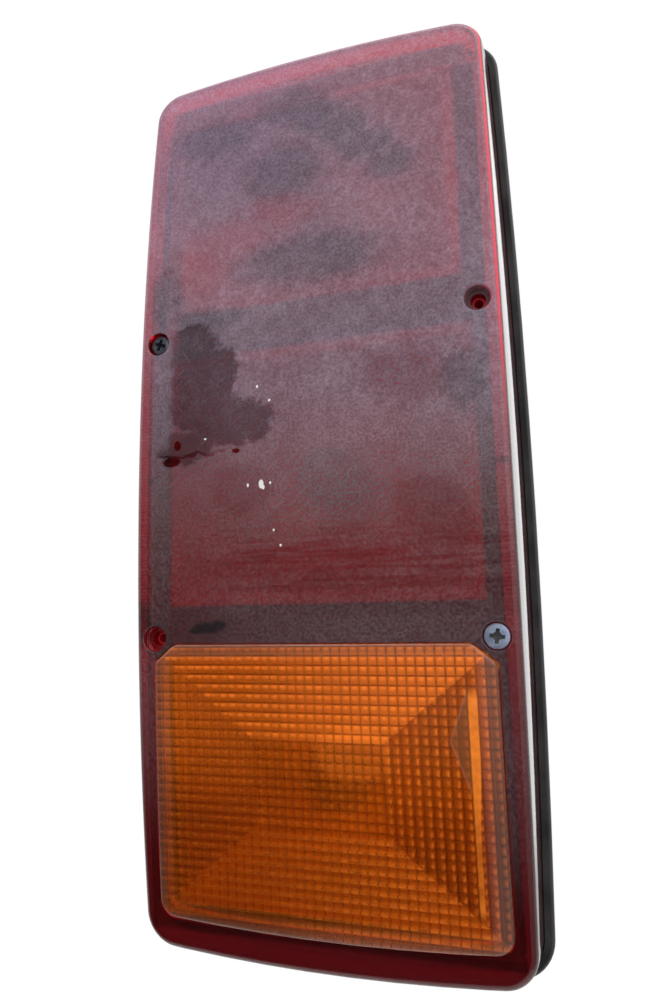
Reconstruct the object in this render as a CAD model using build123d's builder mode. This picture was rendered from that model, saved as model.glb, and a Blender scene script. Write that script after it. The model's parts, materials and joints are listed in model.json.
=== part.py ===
from build123d import *
import os
from math import sqrt

# A vehicle's tail light cluster: a bowed red lens with an amber indicator pane, screwed to a
# black moulded housing that four studs hold to a body panel. Millimetres, +Z up. The lens faces
# -Y, and the origin is the centre of the stud pattern on the panel's face. Heights are counted
# from that face towards the viewer, so a height h lies at y = -h.

# Red lens, its outline measured at the front edge
lens_width = 141.0
lens_height = 340.0
side_barrel = 3.5
end_bulge = 3.5
corner_radius = 9.0
face_bow = 9.4
lens_depth = 27.8
lens_draft = 1.8
lens_wall = 2.8
edge_radius = 3.0

# Lens screws and their wells
screw_inset = 8.9
upper_screw_z = 53.9
lower_screw_z = -59.8
well_radius = 4.5
well_depth = 3.8
well_floor = 2.5
well_wall = 1.8
screw_hole_radius = 2.4
screw_radius = 2.1
thread_root_radius = 1.6
thread_length = 14.0
pan_head_radius = 4.0
pan_head_thick = 2.6
pan_head_crown = 1.1
flat_head_radius = 4.2
flat_head_thick = 3.1
flat_head_crown = 0.4
recess_length = 4.6
recess_width = 1.1
recess_depth = 1.3
recess_turns = (45, 135)

# Amber pane in the lower third
pane_side_margin = 9.0
pane_bottom_margin = 10.6
pane_below_screws = 1.9
pane_cut_x = 8.0
pane_cut_z = 6.3
pane_corner_radius = 6.0
pane_proud = 1.0
pane_thick = 3.0
pane_skirt = 3.0
pane_edge_radius = 1.6
weld_flange_width = 3.0
weld_flange_thick = 1.6
optic_margin = 3.0
optic_width = 46.0
optic_height = 29.0
optic_depth = 1.4

# Housing
gasket_thick = 3.0
gasket_width = 13.0
gasket_inset = 1.0
flange_thick = 4.0
flange_reach = 3.6
flange_round = 1.2
rim_sink = 0.8
seal_thick = 1.8
wall_setback = 6.0
edge_wall_thick = 4.0
wall_thick = 2.4
wall_below_lens = 2.2
upper_band_width = 15.0
upper_band_rise = 3.5
lower_band_width = 13.0
lower_band_rise = 3.8
boss_radius = 5.5
boss_hole_depth = 17.0
rib_thick = 2.0
pod_inset = 2.4
pod_floor_depth = 12.0
pod_wall = 2.4
pod_corner_radius = 8.0
pod_shrink = 2.0
pod_stud_gap = 0.3
tie_rib_spacing = 60.0
tie_rib_depth = 8.0

# Reflector trays
reflector_wall = 1.6
reflector_below_lens = 7.5
reflector_margin = 1.4
lip_width = 2.6
tray_pod_gap = 2.0
indicator_mouth_margin = 5.0

# Bulbs, sockets and contacts
base_radius = 7.5
base_length = 15.5
pin_radius = 1.0
pin_reach = 1.0
pin_rise = 6.5
glass_radius = 12.5
bulb_length = 46.0
neck_radius = 6.6
solder_radius = 2.6
solder_height = 1.0
socket_wall = 0.7
socket_flange_radius = 10.2
socket_flange_thick = 0.8
socket_tail = 4.5
slot_width = 2.4
barrel_wall = 3.0
carrier_thick = 2.0
contact_radius = 3.2
contact_thick = 1.0
rivet_radius = 1.5
blade_width = 6.3
blade_thick = 0.8
blade_length = 11.0
foot_length = 9.0
bayonet_turn = 20.0
earth_tail = 20.0
strip_width = 10.0
strip_thick = 0.8

# Mounting studs
stud_inset = 15.5
stud_spacing_z = 220.0
stud_radius = 2.5
stud_length = 18.0
stud_collar_radius = 3.0
stud_head_size = 10.0
stud_head_thick = 3.0
stud_boss_wall = 1.5
stud_chamfer = 0.8

# Clearances
fit_gap = 0.2
loose_gap = 0.4
press_gap = 0.05

# Heights that follow from the stack of gasket, flange, seal and lens
flange_back = gasket_thick
flange_front = flange_back + flange_thick
rim_height = flange_front - rim_sink
channel_floor = rim_height - seal_thick
face_height = rim_height + lens_depth
bow_radius = ((lens_height / 2) ** 2 + face_bow ** 2) / (2 * face_bow)
wall_drop = lens_wall + wall_below_lens
skirt_drop = lens_wall + fit_gap + weld_flange_thick
pod_floor = -pod_floor_depth

# Places on the face
screw_x = lens_width / 2 - screw_inset
pane_top = lower_screw_z - pane_below_screws
pane_bottom = pane_bottom_margin - lens_height / 2
pane_half = lens_width / 2 - pane_side_margin
upper_band_z = upper_screw_z + upper_band_rise
lower_band_z = lower_screw_z + lower_band_rise
band_walls = {
    upper_band_z: upper_band_width,
    lower_band_z: lower_band_width,
}
wall_inside = wall_setback + edge_wall_thick
chamber_end = lens_height / 2 - wall_inside - end_bulge - reflector_margin

# Each chamber's lower and upper limit, between the walls that close it
chambers = {
    "upper": (upper_band_z + upper_band_width / 2 + reflector_margin, chamber_end),
    "middle": (
        lower_band_z + lower_band_width / 2 + reflector_margin,
        upper_band_z - upper_band_width / 2 - reflector_margin,
    ),
    "indicator": (
        pane_bottom + indicator_mouth_margin,
        pane_top - indicator_mouth_margin,
    ),
}
chamber_middle = {name: (low + high) / 2 for name, (low, high) in chambers.items()}
pod_heights = {name: high - low - 2 * pod_inset for name, (low, high) in chambers.items()}

# The bulb's and the socket's heights, from the pod's floor backwards
base_front = pod_floor + socket_flange_thick
base_back = base_front - base_length
contact_front = base_back - solder_height
socket_back = contact_front - contact_thick
carrier_back = socket_back - carrier_thick
socket_inner = base_radius + fit_gap
socket_outer = socket_inner + socket_wall
barrel_bore = max(socket_outer, base_radius + pin_reach) + fit_gap
barrel_radius = barrel_bore + barrel_wall
barrel_back = socket_back + socket_tail
pin_height = base_back + pin_rise
glass_middle = base_back + bulb_length - glass_radius
glass_foot = glass_radius / sqrt(2)
stud_boss_size = stud_head_size + 2 * (fit_gap + stud_boss_wall)
stud_spacing_x = lens_width - 2 * stud_inset
pod_width = stud_spacing_x - stud_boss_size - 2 * pod_stud_gap
optic_low = pane_bottom + end_bulge + pane_skirt + optic_margin
optic_high = pane_top - pane_skirt - optic_margin


def front(height):
    """Plane parallel to the panel at a height, facing the viewer."""
    return Plane.XZ.offset(height)


def spot(x, z, height):
    """Plane at one place on the lamp, facing the viewer, for holes and turned bits."""
    return Plane(origin=(x, -height, z), x_dir=(1, 0, 0), z_dir=(0, -1, 0))


def turned(x, z):
    """Plane through the axis of a turned piece: its x is the radius and its y the height."""
    return Plane(origin=(x, 0, z), x_dir=(1, 0, 0), z_dir=(0, 0, -1))


def axis_at(x, z):
    """The line on which a bulb, a socket or a screw is turned."""
    return Axis((x, 0, z), (0, -1, 0))


def bow_height(z, drop):
    """Height of the bowed face at z, or of a surface that lies a drop behind it."""
    return face_height - bow_radius + sqrt((bow_radius - drop) ** 2 - z ** 2)


def across_chamber(low, high, drop):
    """Plane over a chamber's mouth, tilted as the bowed face is there."""
    rise = bow_height(high, drop) - bow_height(low, drop)
    level = (bow_height(high, drop) + bow_height(low, drop)) / 2
    middle = (low + high) / 2
    return Plane(origin=(0, -level, middle), x_dir=(1, 0, 0), z_dir=(0, low - high, -rise))


def outline(grow):
    """The lamp's outline, grown all round: bowed sides, bulging ends and round corners."""
    half_width = lens_width / 2 + grow
    half_height = lens_height / 2 + grow
    x = half_width - side_barrel
    z = half_height - end_bulge
    with BuildSketch() as sketch:
        with BuildLine():
            ThreePointArc((-x, -z), (-half_width, 0), (-x, z))
            ThreePointArc((-x, z), (0, half_height), (x, z))
            ThreePointArc((x, z), (half_width, 0), (x, -z))
            ThreePointArc((x, -z), (0, -half_height), (-x, -z))
        make_face()
        fillet(sketch.vertices(), max(corner_radius + grow, wall_thick))
    return sketch.sketch


def pane_outline(grow):
    """The amber pane's outline: top corners cut off beside the wells, bottom corners round."""
    bulge = end_bulge * (pane_half / (lens_width / 2)) ** 2
    side_bottom = pane_bottom + bulge
    with BuildSketch() as sketch:
        with BuildLine():
            Polyline(
                (-pane_half, side_bottom),
                (-pane_half, pane_top - pane_cut_z),
                (pane_cut_x - pane_half, pane_top),
                (pane_half - pane_cut_x, pane_top),
                (pane_half, pane_top - pane_cut_z),
                (pane_half, side_bottom),
            )
            ThreePointArc((pane_half, side_bottom), (0, pane_bottom), (-pane_half, side_bottom))
        make_face()
        fillet(sketch.vertices().sort_by(Axis.Y)[:2], pane_corner_radius)
        fillet(sketch.vertices().sort_by(Axis.Y)[-4:], pane_corner_radius / 2)
        if grow:
            offset(amount=grow, mode=Mode.REPLACE)
    return sketch.sketch


def behind_bow(drop):
    """Everything behind a surface that follows the bowed face at a given drop."""
    end = lens_height
    back = carrier_back - lens_depth
    with BuildPart() as region:
        with BuildSketch(Plane.YZ):
            with BuildLine():
                ThreePointArc(
                    (-bow_height(-end, drop), -end),
                    (-bow_height(0, drop), 0),
                    (-bow_height(end, drop), end),
                )
                Polyline(
                    (-bow_height(end, drop), end),
                    (-back, end),
                    (-back, -end),
                    (-bow_height(-end, drop), -end),
                )
            make_face()
        extrude(amount=lens_width, both=True)
    return region.part


def tray_back(mouth_size, pod_size, throat_share):
    """Size of a tray at its back, so that its straight sides clear the mouth of its pod."""
    throat = pod_size - 2 * (pod_wall + tray_pod_gap)
    return mouth_size - (mouth_size - throat) * throat_share


os.makedirs("parts", exist_ok=True)
screw_places = [(x, z) for z in (upper_screw_z, lower_screw_z) for x in (-screw_x, screw_x)]
behind_face = behind_bow(0)
behind_lens_wall = behind_bow(lens_wall)
behind_wall_top = behind_bow(wall_drop)
behind_band_top = behind_bow(wall_drop + wall_thick)

# The hollow of the red lens, open at its rim
with BuildPart() as lens_hollow:
    with BuildSketch(front(rim_height)):
        add(outline(lens_draft - lens_wall))
    with BuildSketch(front(face_height)):
        add(outline(-lens_wall))
    loft()
    add(behind_lens_wall, mode=Mode.INTERSECT)

# Red lens: a drafted shell with a bowed face, a window and four screw wells
with BuildPart() as red_lens:
    with BuildSketch(front(rim_height)):
        add(outline(lens_draft))
    with BuildSketch(front(face_height)):
        add(outline(0))
    loft()
    add(behind_face, mode=Mode.INTERSECT)
    fillet(red_lens.faces().sort_by(Axis.Y)[0].edges(), edge_radius)
    add(lens_hollow.part, mode=Mode.SUBTRACT)
    with BuildSketch(front(rim_height)):
        add(pane_outline(fit_gap))
    extrude(amount=2 * lens_depth, mode=Mode.SUBTRACT)
    for x, z in screw_places:
        mouth = bow_height(z, 0)
        with BuildSketch(front(mouth - well_depth - well_floor)):
            with Locations((x, z)):
                Circle(well_radius + well_wall)
        extrude(amount=well_depth + well_floor - lens_wall / 2)
        with Locations(spot(x, z, mouth + lens_wall)):
            CounterBoreHole(
                screw_hole_radius,
                well_radius,
                lens_wall + well_depth,
                2 * lens_wall + well_depth + well_floor,
            )
red_lens.part.label = "red_lens"
export_step(red_lens.part, "parts/red_lens.step")

# The pane's welding flange, which lies against the back of the red face
with BuildPart() as pane_flange:
    with BuildSketch(front(rim_height)):
        add(pane_outline(weld_flange_width))
        with Locations((-screw_x, lower_screw_z), (screw_x, lower_screw_z)):
            Circle(well_radius + well_wall + fit_gap, mode=Mode.SUBTRACT)
    extrude(amount=2 * lens_depth)
    add(behind_bow(lens_wall + fit_gap), mode=Mode.INTERSECT)

# The hollow behind the pane, inside its skirt
with BuildPart() as pane_hollow:
    with BuildSketch(front(rim_height)):
        add(pane_outline(-pane_skirt))
    extrude(amount=2 * lens_depth)
    add(behind_bow(pane_thick - pane_proud), mode=Mode.INTERSECT)

# Amber pane: a raised pad with a rounded edge, whose optics are five flat zones on its back
with BuildPart() as amber_lens:
    with BuildSketch(front(rim_height)):
        add(pane_outline(0))
    extrude(amount=2 * lens_depth)
    add(behind_bow(-pane_proud), mode=Mode.INTERSECT)
    fillet(amber_lens.faces().sort_by(Axis.Y)[0].edges(), pane_edge_radius)
    add(pane_flange.part)
    add(behind_bow(skirt_drop), mode=Mode.SUBTRACT)
    add(pane_hollow.part, mode=Mode.SUBTRACT)
    with BuildSketch(across_chamber(optic_low, optic_high, pane_thick / 2 - pane_proud)):
        Rectangle(2 * (pane_half - pane_skirt - optic_margin), optic_high - optic_low)
    with BuildSketch(across_chamber(optic_low, optic_high, pane_thick - pane_proud + optic_depth)):
        Rectangle(optic_width, optic_height)
    loft()
amber_lens.part.label = "amber_lens"
export_step(amber_lens.part, "parts/amber_lens.step")

# Lens seal: the ring that the lens rim presses into the housing's channel
with BuildPart() as lens_seal:
    with BuildSketch(front(channel_floor)):
        add(outline(lens_draft + fit_gap))
        add(outline(lens_draft - lens_wall - fit_gap), mode=Mode.SUBTRACT)
    extrude(amount=seal_thick)
lens_seal.part.label = "lens_seal"
export_step(lens_seal.part, "parts/lens_seal.step")

# Body gasket: the ring between the flange and the panel
with BuildPart() as body_gasket:
    with BuildSketch(front(0)):
        add(outline(lens_draft + flange_reach - gasket_inset))
        add(outline(lens_draft + flange_reach - gasket_inset - gasket_width), mode=Mode.SUBTRACT)
    extrude(amount=gasket_thick)
body_gasket.part.label = "body_gasket"
export_step(body_gasket.part, "parts/body_gasket.step")

# The housing's edge wall, screw bands and locating ribs, cut off just behind the bowed lens
with BuildPart() as housing_walls:
    with BuildSketch(front(flange_back)):
        add(outline(-wall_setback))
        add(outline(-wall_inside), mode=Mode.SUBTRACT)
    extrude(amount=lens_depth + flange_thick)
    for z, width in band_walls.items():
        with BuildSketch(front(flange_back)) as band:
            add(outline(-wall_setback))
            with Locations((0, z)):
                Rectangle(lens_width, width, mode=Mode.INTERSECT)
        extrude(amount=lens_depth + flange_thick)
    with BuildSketch(front(flange_back)):
        add(outline(-lens_wall - loose_gap))
        Rectangle(lens_width, rib_thick, mode=Mode.INTERSECT)
        add(outline(-wall_inside), mode=Mode.SUBTRACT)
    extrude(amount=lens_depth + flange_thick)
    add(behind_wall_top, mode=Mode.INTERSECT)

# The hollows of the two bands, open to the back as the mould leaves them
with BuildPart() as band_hollows:
    for z, width in band_walls.items():
        with BuildSketch(front(0)):
            with Locations((0, z)):
                Rectangle(2 * (screw_x - boss_radius - wall_thick), width - 2 * wall_thick)
        extrude(amount=face_height)
    add(behind_band_top, mode=Mode.INTERSECT)

# Housing: flange, walls, screw bosses and three pods that hold the sockets
with BuildPart() as housing:
    with BuildSketch(front(flange_back)):
        add(outline(lens_draft + flange_reach))
    extrude(amount=flange_thick)
    fillet(housing.faces().sort_by(Axis.Y)[0].edges(), flange_round)
    with BuildSketch(front(channel_floor)):
        add(outline(lens_draft + loose_gap))
        add(outline(lens_draft - lens_wall - loose_gap), mode=Mode.SUBTRACT)
    extrude(amount=flange_thick, mode=Mode.SUBTRACT)
    add(housing_walls.part)
    add(band_hollows.part, mode=Mode.SUBTRACT)
    for x, z in screw_places:
        boss_top = bow_height(z, 0) - well_depth - well_floor
        with BuildSketch(front(boss_top)):
            with Locations((x, z)):
                Circle(well_radius + well_wall + loose_gap)
        extrude(amount=lens_depth, mode=Mode.SUBTRACT)
        with BuildSketch(front(flange_back)):
            with Locations((x, z)):
                Circle(boss_radius)
        extrude(amount=boss_top - flange_back)
        with Locations(spot(x, z, boss_top)):
            Hole(thread_root_radius + press_gap, boss_hole_depth)
    tie_z = (chamber_middle["upper"] + chamber_middle["indicator"]) / 2
    tie_length = chamber_middle["upper"] - chamber_middle["indicator"]
    with BuildSketch(front(flange_back)):
        with Locations((-tie_rib_spacing / 2, tie_z), (tie_rib_spacing / 2, tie_z)):
            Rectangle(rib_thick, tie_length)
    extrude(amount=-tie_rib_depth)
    for name, z in chamber_middle.items():
        pod_height = pod_heights[name]
        with BuildSketch(front(flange_front)):
            with Locations((0, z)):
                RectangleRounded(pod_width, pod_height, pod_corner_radius)
        with BuildSketch(front(pod_floor - pod_wall)):
            with Locations((0, z)):
                RectangleRounded(pod_width - 2 * pod_shrink, pod_height - 2 * pod_shrink, pod_corner_radius)
        loft()
        with BuildSketch(front(pod_floor - pod_wall)):
            with Locations((0, z)):
                Circle(barrel_radius)
        extrude(amount=barrel_back - pod_floor + pod_wall)
    for name, z in chamber_middle.items():
        pod_height = pod_heights[name]
        with BuildSketch(front(flange_front)):
            with Locations((0, z)):
                RectangleRounded(
                    pod_width - 2 * pod_wall,
                    pod_height - 2 * pod_wall,
                    pod_corner_radius - pod_wall,
                )
        with BuildSketch(front(pod_floor)):
            with Locations((0, z)):
                RectangleRounded(
                    pod_width - 2 * pod_shrink - 2 * pod_wall,
                    pod_height - 2 * pod_shrink - 2 * pod_wall,
                    pod_corner_radius - pod_wall,
                )
        loft(mode=Mode.SUBTRACT)
        with BuildSketch(front(pod_floor)):
            with Locations((0, z)):
                Circle(barrel_bore)
        extrude(amount=barrel_back - pod_floor, mode=Mode.SUBTRACT)
    with BuildSketch(front(flange_front)):
        with GridLocations(stud_spacing_x, stud_spacing_z, 2, 2):
            Rectangle(stud_boss_size, stud_boss_size)
    extrude(amount=stud_head_thick)
    with BuildSketch(front(flange_front)):
        with GridLocations(stud_spacing_x, stud_spacing_z, 2, 2):
            Rectangle(stud_head_size + 2 * fit_gap, stud_head_size + 2 * fit_gap)
    extrude(amount=stud_head_thick, mode=Mode.SUBTRACT)
    with BuildSketch(front(flange_back)):
        with GridLocations(stud_spacing_x, stud_spacing_z, 2, 2):
            Circle(stud_collar_radius + press_gap)
    extrude(amount=flange_thick, mode=Mode.SUBTRACT)
housing.part.label = "housing"
export_step(housing.part, "parts/housing.step")

# Mounting studs: square heads that the housing keeps from turning, collars in the flange
with BuildPart() as mounting_studs:
    with BuildSketch(front(flange_front)):
        with GridLocations(stud_spacing_x, stud_spacing_z, 2, 2):
            Rectangle(stud_head_size, stud_head_size)
    extrude(amount=stud_head_thick)
    with BuildSketch(front(flange_front)):
        with GridLocations(stud_spacing_x, stud_spacing_z, 2, 2):
            Circle(stud_collar_radius)
    extrude(amount=-flange_thick)
    with BuildSketch(front(flange_back)):
        with GridLocations(stud_spacing_x, stud_spacing_z, 2, 2):
            Circle(stud_radius)
    extrude(amount=-flange_back - stud_length)
    chamfer(mounting_studs.faces().group_by(Axis.Y)[-1].edges(), stud_chamfer)
mounting_studs.part.label = "mounting_studs"
export_step(mounting_studs.part, "parts/mounting_studs.step")

# One reflector, bulb, socket, contact carrier and feed terminal for each chamber
for name, (low, high) in chambers.items():
    middle = chamber_middle[name]
    far_end = max(abs(low), abs(high)) / (lens_height / 2)
    mouth_half = lens_width / 2 - side_barrel * far_end ** 2 - wall_inside - reflector_margin
    mouth = across_chamber(low, high, reflector_below_lens)
    mouth_low = min(bow_height(low, reflector_below_lens), bow_height(high, reflector_below_lens))
    throat_share = (mouth_low - pod_floor) / (mouth_low - flange_front)
    back_width = tray_back(2 * (mouth_half - lip_width), pod_width, throat_share)
    back_height = tray_back(high - low - 2 * lip_width, pod_heights[name], throat_share)

    # Reflector: a tray with sloping sides and a flat lip, seated on the pod's floor
    with BuildPart() as reflector:
        with BuildSketch(front(pod_floor)):
            with Locations((0, middle)):
                Rectangle(back_width, back_height)
        with BuildSketch(mouth):
            Rectangle(2 * (mouth_half - lip_width), high - low - 2 * lip_width)
        loft()
        with BuildSketch(mouth):
            Rectangle(2 * mouth_half, high - low)
        extrude(amount=-reflector_wall)
        with BuildSketch(front(pod_floor + reflector_wall)):
            with Locations((0, middle)):
                Rectangle(back_width - 2 * reflector_wall, back_height - 2 * reflector_wall)
        with BuildSketch(mouth):
            Rectangle(
                2 * (mouth_half - lip_width - reflector_wall),
                high - low - 2 * (lip_width + reflector_wall),
            )
        loft(mode=Mode.SUBTRACT)
        with BuildSketch(front(pod_floor)):
            with Locations((0, middle)):
                Circle(socket_flange_radius + loose_gap)
        extrude(amount=reflector_wall, mode=Mode.SUBTRACT)
    reflector.part.label = name + "_reflector"
    export_step(reflector.part, "parts/" + name + "_reflector.step")

    # Socket: a thin shell with a front flange and two bayonet slots
    with BuildPart() as socket:
        with BuildSketch(turned(0, middle)):
            with BuildLine():
                Polyline(
                    (socket_inner, socket_back),
                    (socket_outer, socket_back),
                    (socket_outer, pod_floor),
                    (socket_flange_radius, pod_floor),
                    (socket_flange_radius, base_front),
                    (socket_inner, base_front),
                    close=True,
                )
            make_face()
        revolve(axis=axis_at(0, middle))
        for turn in (0, bayonet_turn / 2, bayonet_turn):
            with Locations(spot(0, middle, pin_height)):
                Box(2 * barrel_radius, slot_width, slot_width, rotation=(0, 0, turn), mode=Mode.SUBTRACT)
        with Locations(spot(0, middle, pin_height)):
            Box(
                2 * barrel_radius,
                slot_width,
                base_front - pin_height,
                rotation=(0, 0, bayonet_turn),
                align=(Align.CENTER, Align.CENTER, Align.MIN),
                mode=Mode.SUBTRACT,
            )
    socket.part.label = name + "_socket"
    export_step(socket.part, "parts/" + name + "_socket.step")

    # Bulb: solder point, bayonet base with two pins, neck and round glass, sealed as one
    with BuildPart() as bulb:
        with BuildSketch(turned(0, middle)):
            with BuildLine():
                Polyline(
                    (0, contact_front),
                    (solder_radius, contact_front),
                    (solder_radius, base_back),
                    (base_radius, base_back),
                    (base_radius, base_front),
                    (neck_radius, base_front),
                    (neck_radius, base_front + neck_radius / 2),
                    (glass_foot, glass_middle - glass_foot),
                )
                ThreePointArc(
                    (glass_foot, glass_middle - glass_foot),
                    (glass_radius, glass_middle),
                    (0, glass_middle + glass_radius),
                )
                Line((0, glass_middle + glass_radius), (0, contact_front))
            make_face()
        revolve(axis=axis_at(0, middle))
        with Locations(Plane(origin=(0, -pin_height, middle), z_dir=(1, 0, 0))):
            Cylinder(pin_radius, 2 * (base_radius + pin_reach))
    bulb.part.label = name + "_bulb"
    export_step(bulb.part, "parts/" + name + "_bulb.step")

    # Contact carrier: the insulating disc that closes the socket
    with BuildPart() as contact_carrier:
        with BuildSketch(front(carrier_back)):
            with Locations((0, middle)):
                Circle(socket_outer)
                Circle(rivet_radius + press_gap, mode=Mode.SUBTRACT)
        extrude(amount=carrier_thick)
    contact_carrier.part.label = name + "_contact_carrier"
    export_step(contact_carrier.part, "parts/" + name + "_contact_carrier.step")

    # Feed terminal: a contact under the bulb, riveted through the carrier to a blade
    with BuildPart() as feed_terminal:
        with BuildSketch(front(socket_back)):
            with Locations((0, middle)):
                Circle(contact_radius)
        extrude(amount=contact_thick)
        with BuildSketch(front(carrier_back)):
            with Locations((0, middle)):
                Circle(rivet_radius)
        extrude(amount=carrier_thick)
        with BuildSketch(front(carrier_back)):
            with Locations((foot_length / 4, middle)):
                Rectangle(foot_length, blade_width)
        extrude(amount=-blade_thick)
        with BuildSketch(front(carrier_back)):
            with Locations((foot_length * 3 / 4 - blade_thick / 2, middle)):
                Rectangle(blade_thick, blade_width)
        extrude(amount=-blade_length)
    feed_terminal.part.label = name + "_feed_terminal"
    export_step(feed_terminal.part, "parts/" + name + "_feed_terminal.step")

# Earth strip: eyes round the three sockets, and a blade turned back at its lower end
strip_low = chamber_middle["indicator"] - earth_tail
strip_high = chamber_middle["upper"]
with BuildPart() as earth_strip:
    with BuildSketch(front(barrel_back)):
        with Locations((0, (strip_low + strip_high) / 2)):
            Rectangle(strip_width, strip_high - strip_low)
        with Locations(*[(0, z) for z in chamber_middle.values()]):
            Circle(barrel_radius)
            Circle(socket_outer + press_gap, mode=Mode.SUBTRACT)
    extrude(amount=-strip_thick)
    with BuildSketch(front(barrel_back)):
        with Locations((0, strip_low + blade_thick / 2)):
            Rectangle(blade_width, blade_thick)
    extrude(amount=-blade_length)
earth_strip.part.label = "earth_strip"
export_step(earth_strip.part, "parts/earth_strip.step")


def lens_screw(x, z, head_radius, head_thick, crown):
    """A lens screw in its well: crowned head with a cross recess, shank and thread core."""
    seat = bow_height(z, 0) - well_depth
    boss_top = seat - well_floor
    head_top = seat + head_thick
    with BuildPart() as screw:
        with BuildSketch(turned(x, z)):
            with BuildLine():
                Polyline(
                    (0, head_top),
                    (0, boss_top - thread_length),
                    (thread_root_radius, boss_top - thread_length),
                    (thread_root_radius, boss_top),
                    (screw_radius, boss_top),
                    (screw_radius, seat),
                    (head_radius, seat),
                    (head_radius, head_top - crown),
                )
                ThreePointArc(
                    (head_radius, head_top - crown),
                    (head_radius / 2, head_top - crown / 4),
                    (0, head_top),
                )
            make_face()
        revolve(axis=axis_at(x, z))
        for turn in recess_turns:
            with Locations(spot(x, z, head_top)):
                Box(
                    recess_length,
                    recess_width,
                    2 * recess_depth,
                    rotation=(0, 0, turn),
                    mode=Mode.SUBTRACT,
                )
    return screw.part


upper_left_lens_screw = lens_screw(
    -screw_x, upper_screw_z, pan_head_radius, pan_head_thick, pan_head_crown
)
upper_left_lens_screw.label = "upper_left_lens_screw"
export_step(upper_left_lens_screw, "parts/upper_left_lens_screw.step")

lower_right_lens_screw = lens_screw(
    screw_x, lower_screw_z, flat_head_radius, flat_head_thick, flat_head_crown
)
lower_right_lens_screw.label = "lower_right_lens_screw"
export_step(lower_right_lens_screw, "parts/lower_right_lens_screw.step")
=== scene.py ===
# %% [markdown]
# A used tail light cluster. The frame brings in the solids of the part, and this lesson dresses
# them: the two lenses are modelled again with fine optics and soft edges, the lens screws with
# threads and the bulbs with thin glass, and every other piece keeps its solid and gets a finish.

# %% Load the frame
import json
from math import cos, pi, radians, sin, sqrt
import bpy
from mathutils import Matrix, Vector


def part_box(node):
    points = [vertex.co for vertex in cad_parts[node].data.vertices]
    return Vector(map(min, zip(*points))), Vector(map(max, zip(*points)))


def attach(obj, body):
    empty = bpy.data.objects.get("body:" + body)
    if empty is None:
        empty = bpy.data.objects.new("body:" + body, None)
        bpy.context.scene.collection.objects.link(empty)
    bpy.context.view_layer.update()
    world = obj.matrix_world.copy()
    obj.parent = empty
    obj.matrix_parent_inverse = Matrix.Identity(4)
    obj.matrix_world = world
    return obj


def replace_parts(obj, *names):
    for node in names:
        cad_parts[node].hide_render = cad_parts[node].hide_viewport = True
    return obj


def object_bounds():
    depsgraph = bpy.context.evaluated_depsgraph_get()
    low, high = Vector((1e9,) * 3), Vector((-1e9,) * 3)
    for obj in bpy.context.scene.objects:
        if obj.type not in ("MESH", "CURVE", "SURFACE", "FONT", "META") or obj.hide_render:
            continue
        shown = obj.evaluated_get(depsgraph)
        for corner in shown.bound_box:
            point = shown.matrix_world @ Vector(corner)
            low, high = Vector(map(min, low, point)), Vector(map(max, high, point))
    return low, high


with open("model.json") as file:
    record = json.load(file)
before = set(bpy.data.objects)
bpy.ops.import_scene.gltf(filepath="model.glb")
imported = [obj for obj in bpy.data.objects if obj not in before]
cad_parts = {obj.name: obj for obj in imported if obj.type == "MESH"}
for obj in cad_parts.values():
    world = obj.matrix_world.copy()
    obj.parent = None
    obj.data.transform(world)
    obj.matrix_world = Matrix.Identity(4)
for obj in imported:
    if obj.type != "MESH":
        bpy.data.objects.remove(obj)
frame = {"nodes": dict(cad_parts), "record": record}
from types import SimpleNamespace
import bmesh
import bpy
from mathutils import Matrix, Vector

cad_low, cad_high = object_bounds()
scene = bpy.context.scene
mm = 0.001
cad_size = [round(size / mm, 1) for size in cad_high - cad_low]
print("frame:", len(frame["nodes"]), "nodes, size in mm:", cad_size)

# %% [markdown]
# The camera stands close to the lamp, a little to its right and a little below its middle, and
# looks slightly up. So near, a wide lens makes the lower end look larger than the upper one.
# The place, the line of sight and the lens come from matching the lamp's corners and screws.

# %% The camera
camera_place = Vector((0.0767, -0.2586, -0.0470))
line_of_sight = Vector((-0.2863, 0.9471, 0.1444))
upright = Vector((0.0652, -0.1298, 0.9894))
camera_data = bpy.data.cameras.new("portrait_camera")
camera_data.sensor_width = 36.0
camera_data.lens = 24.58
camera_data.clip_start = 0.01
camera = bpy.data.objects.new("portrait_camera", camera_data)
scene.collection.objects.link(camera)
camera_right = line_of_sight.cross(upright).normalized()
camera_up = camera_right.cross(line_of_sight).normalized()
turn = Matrix((camera_right, camera_up, -line_of_sight.normalized())).transposed()
camera.matrix_world = Matrix.Translation(camera_place) @ turn.to_4x4()
scene.camera = camera
scene.view_settings.view_transform = "Standard"
print("camera", round(camera_data.lens, 1), "mm at", [round(c, 3) for c in camera_place])

# %% [markdown]
# Shader nodes are quickest to read as sums. The class below wraps one output socket, and adding
# or multiplying two of them makes the Math node for it. A finish is a material with one method
# that makes any other node from its type, its settings and what goes into its sockets.

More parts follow.
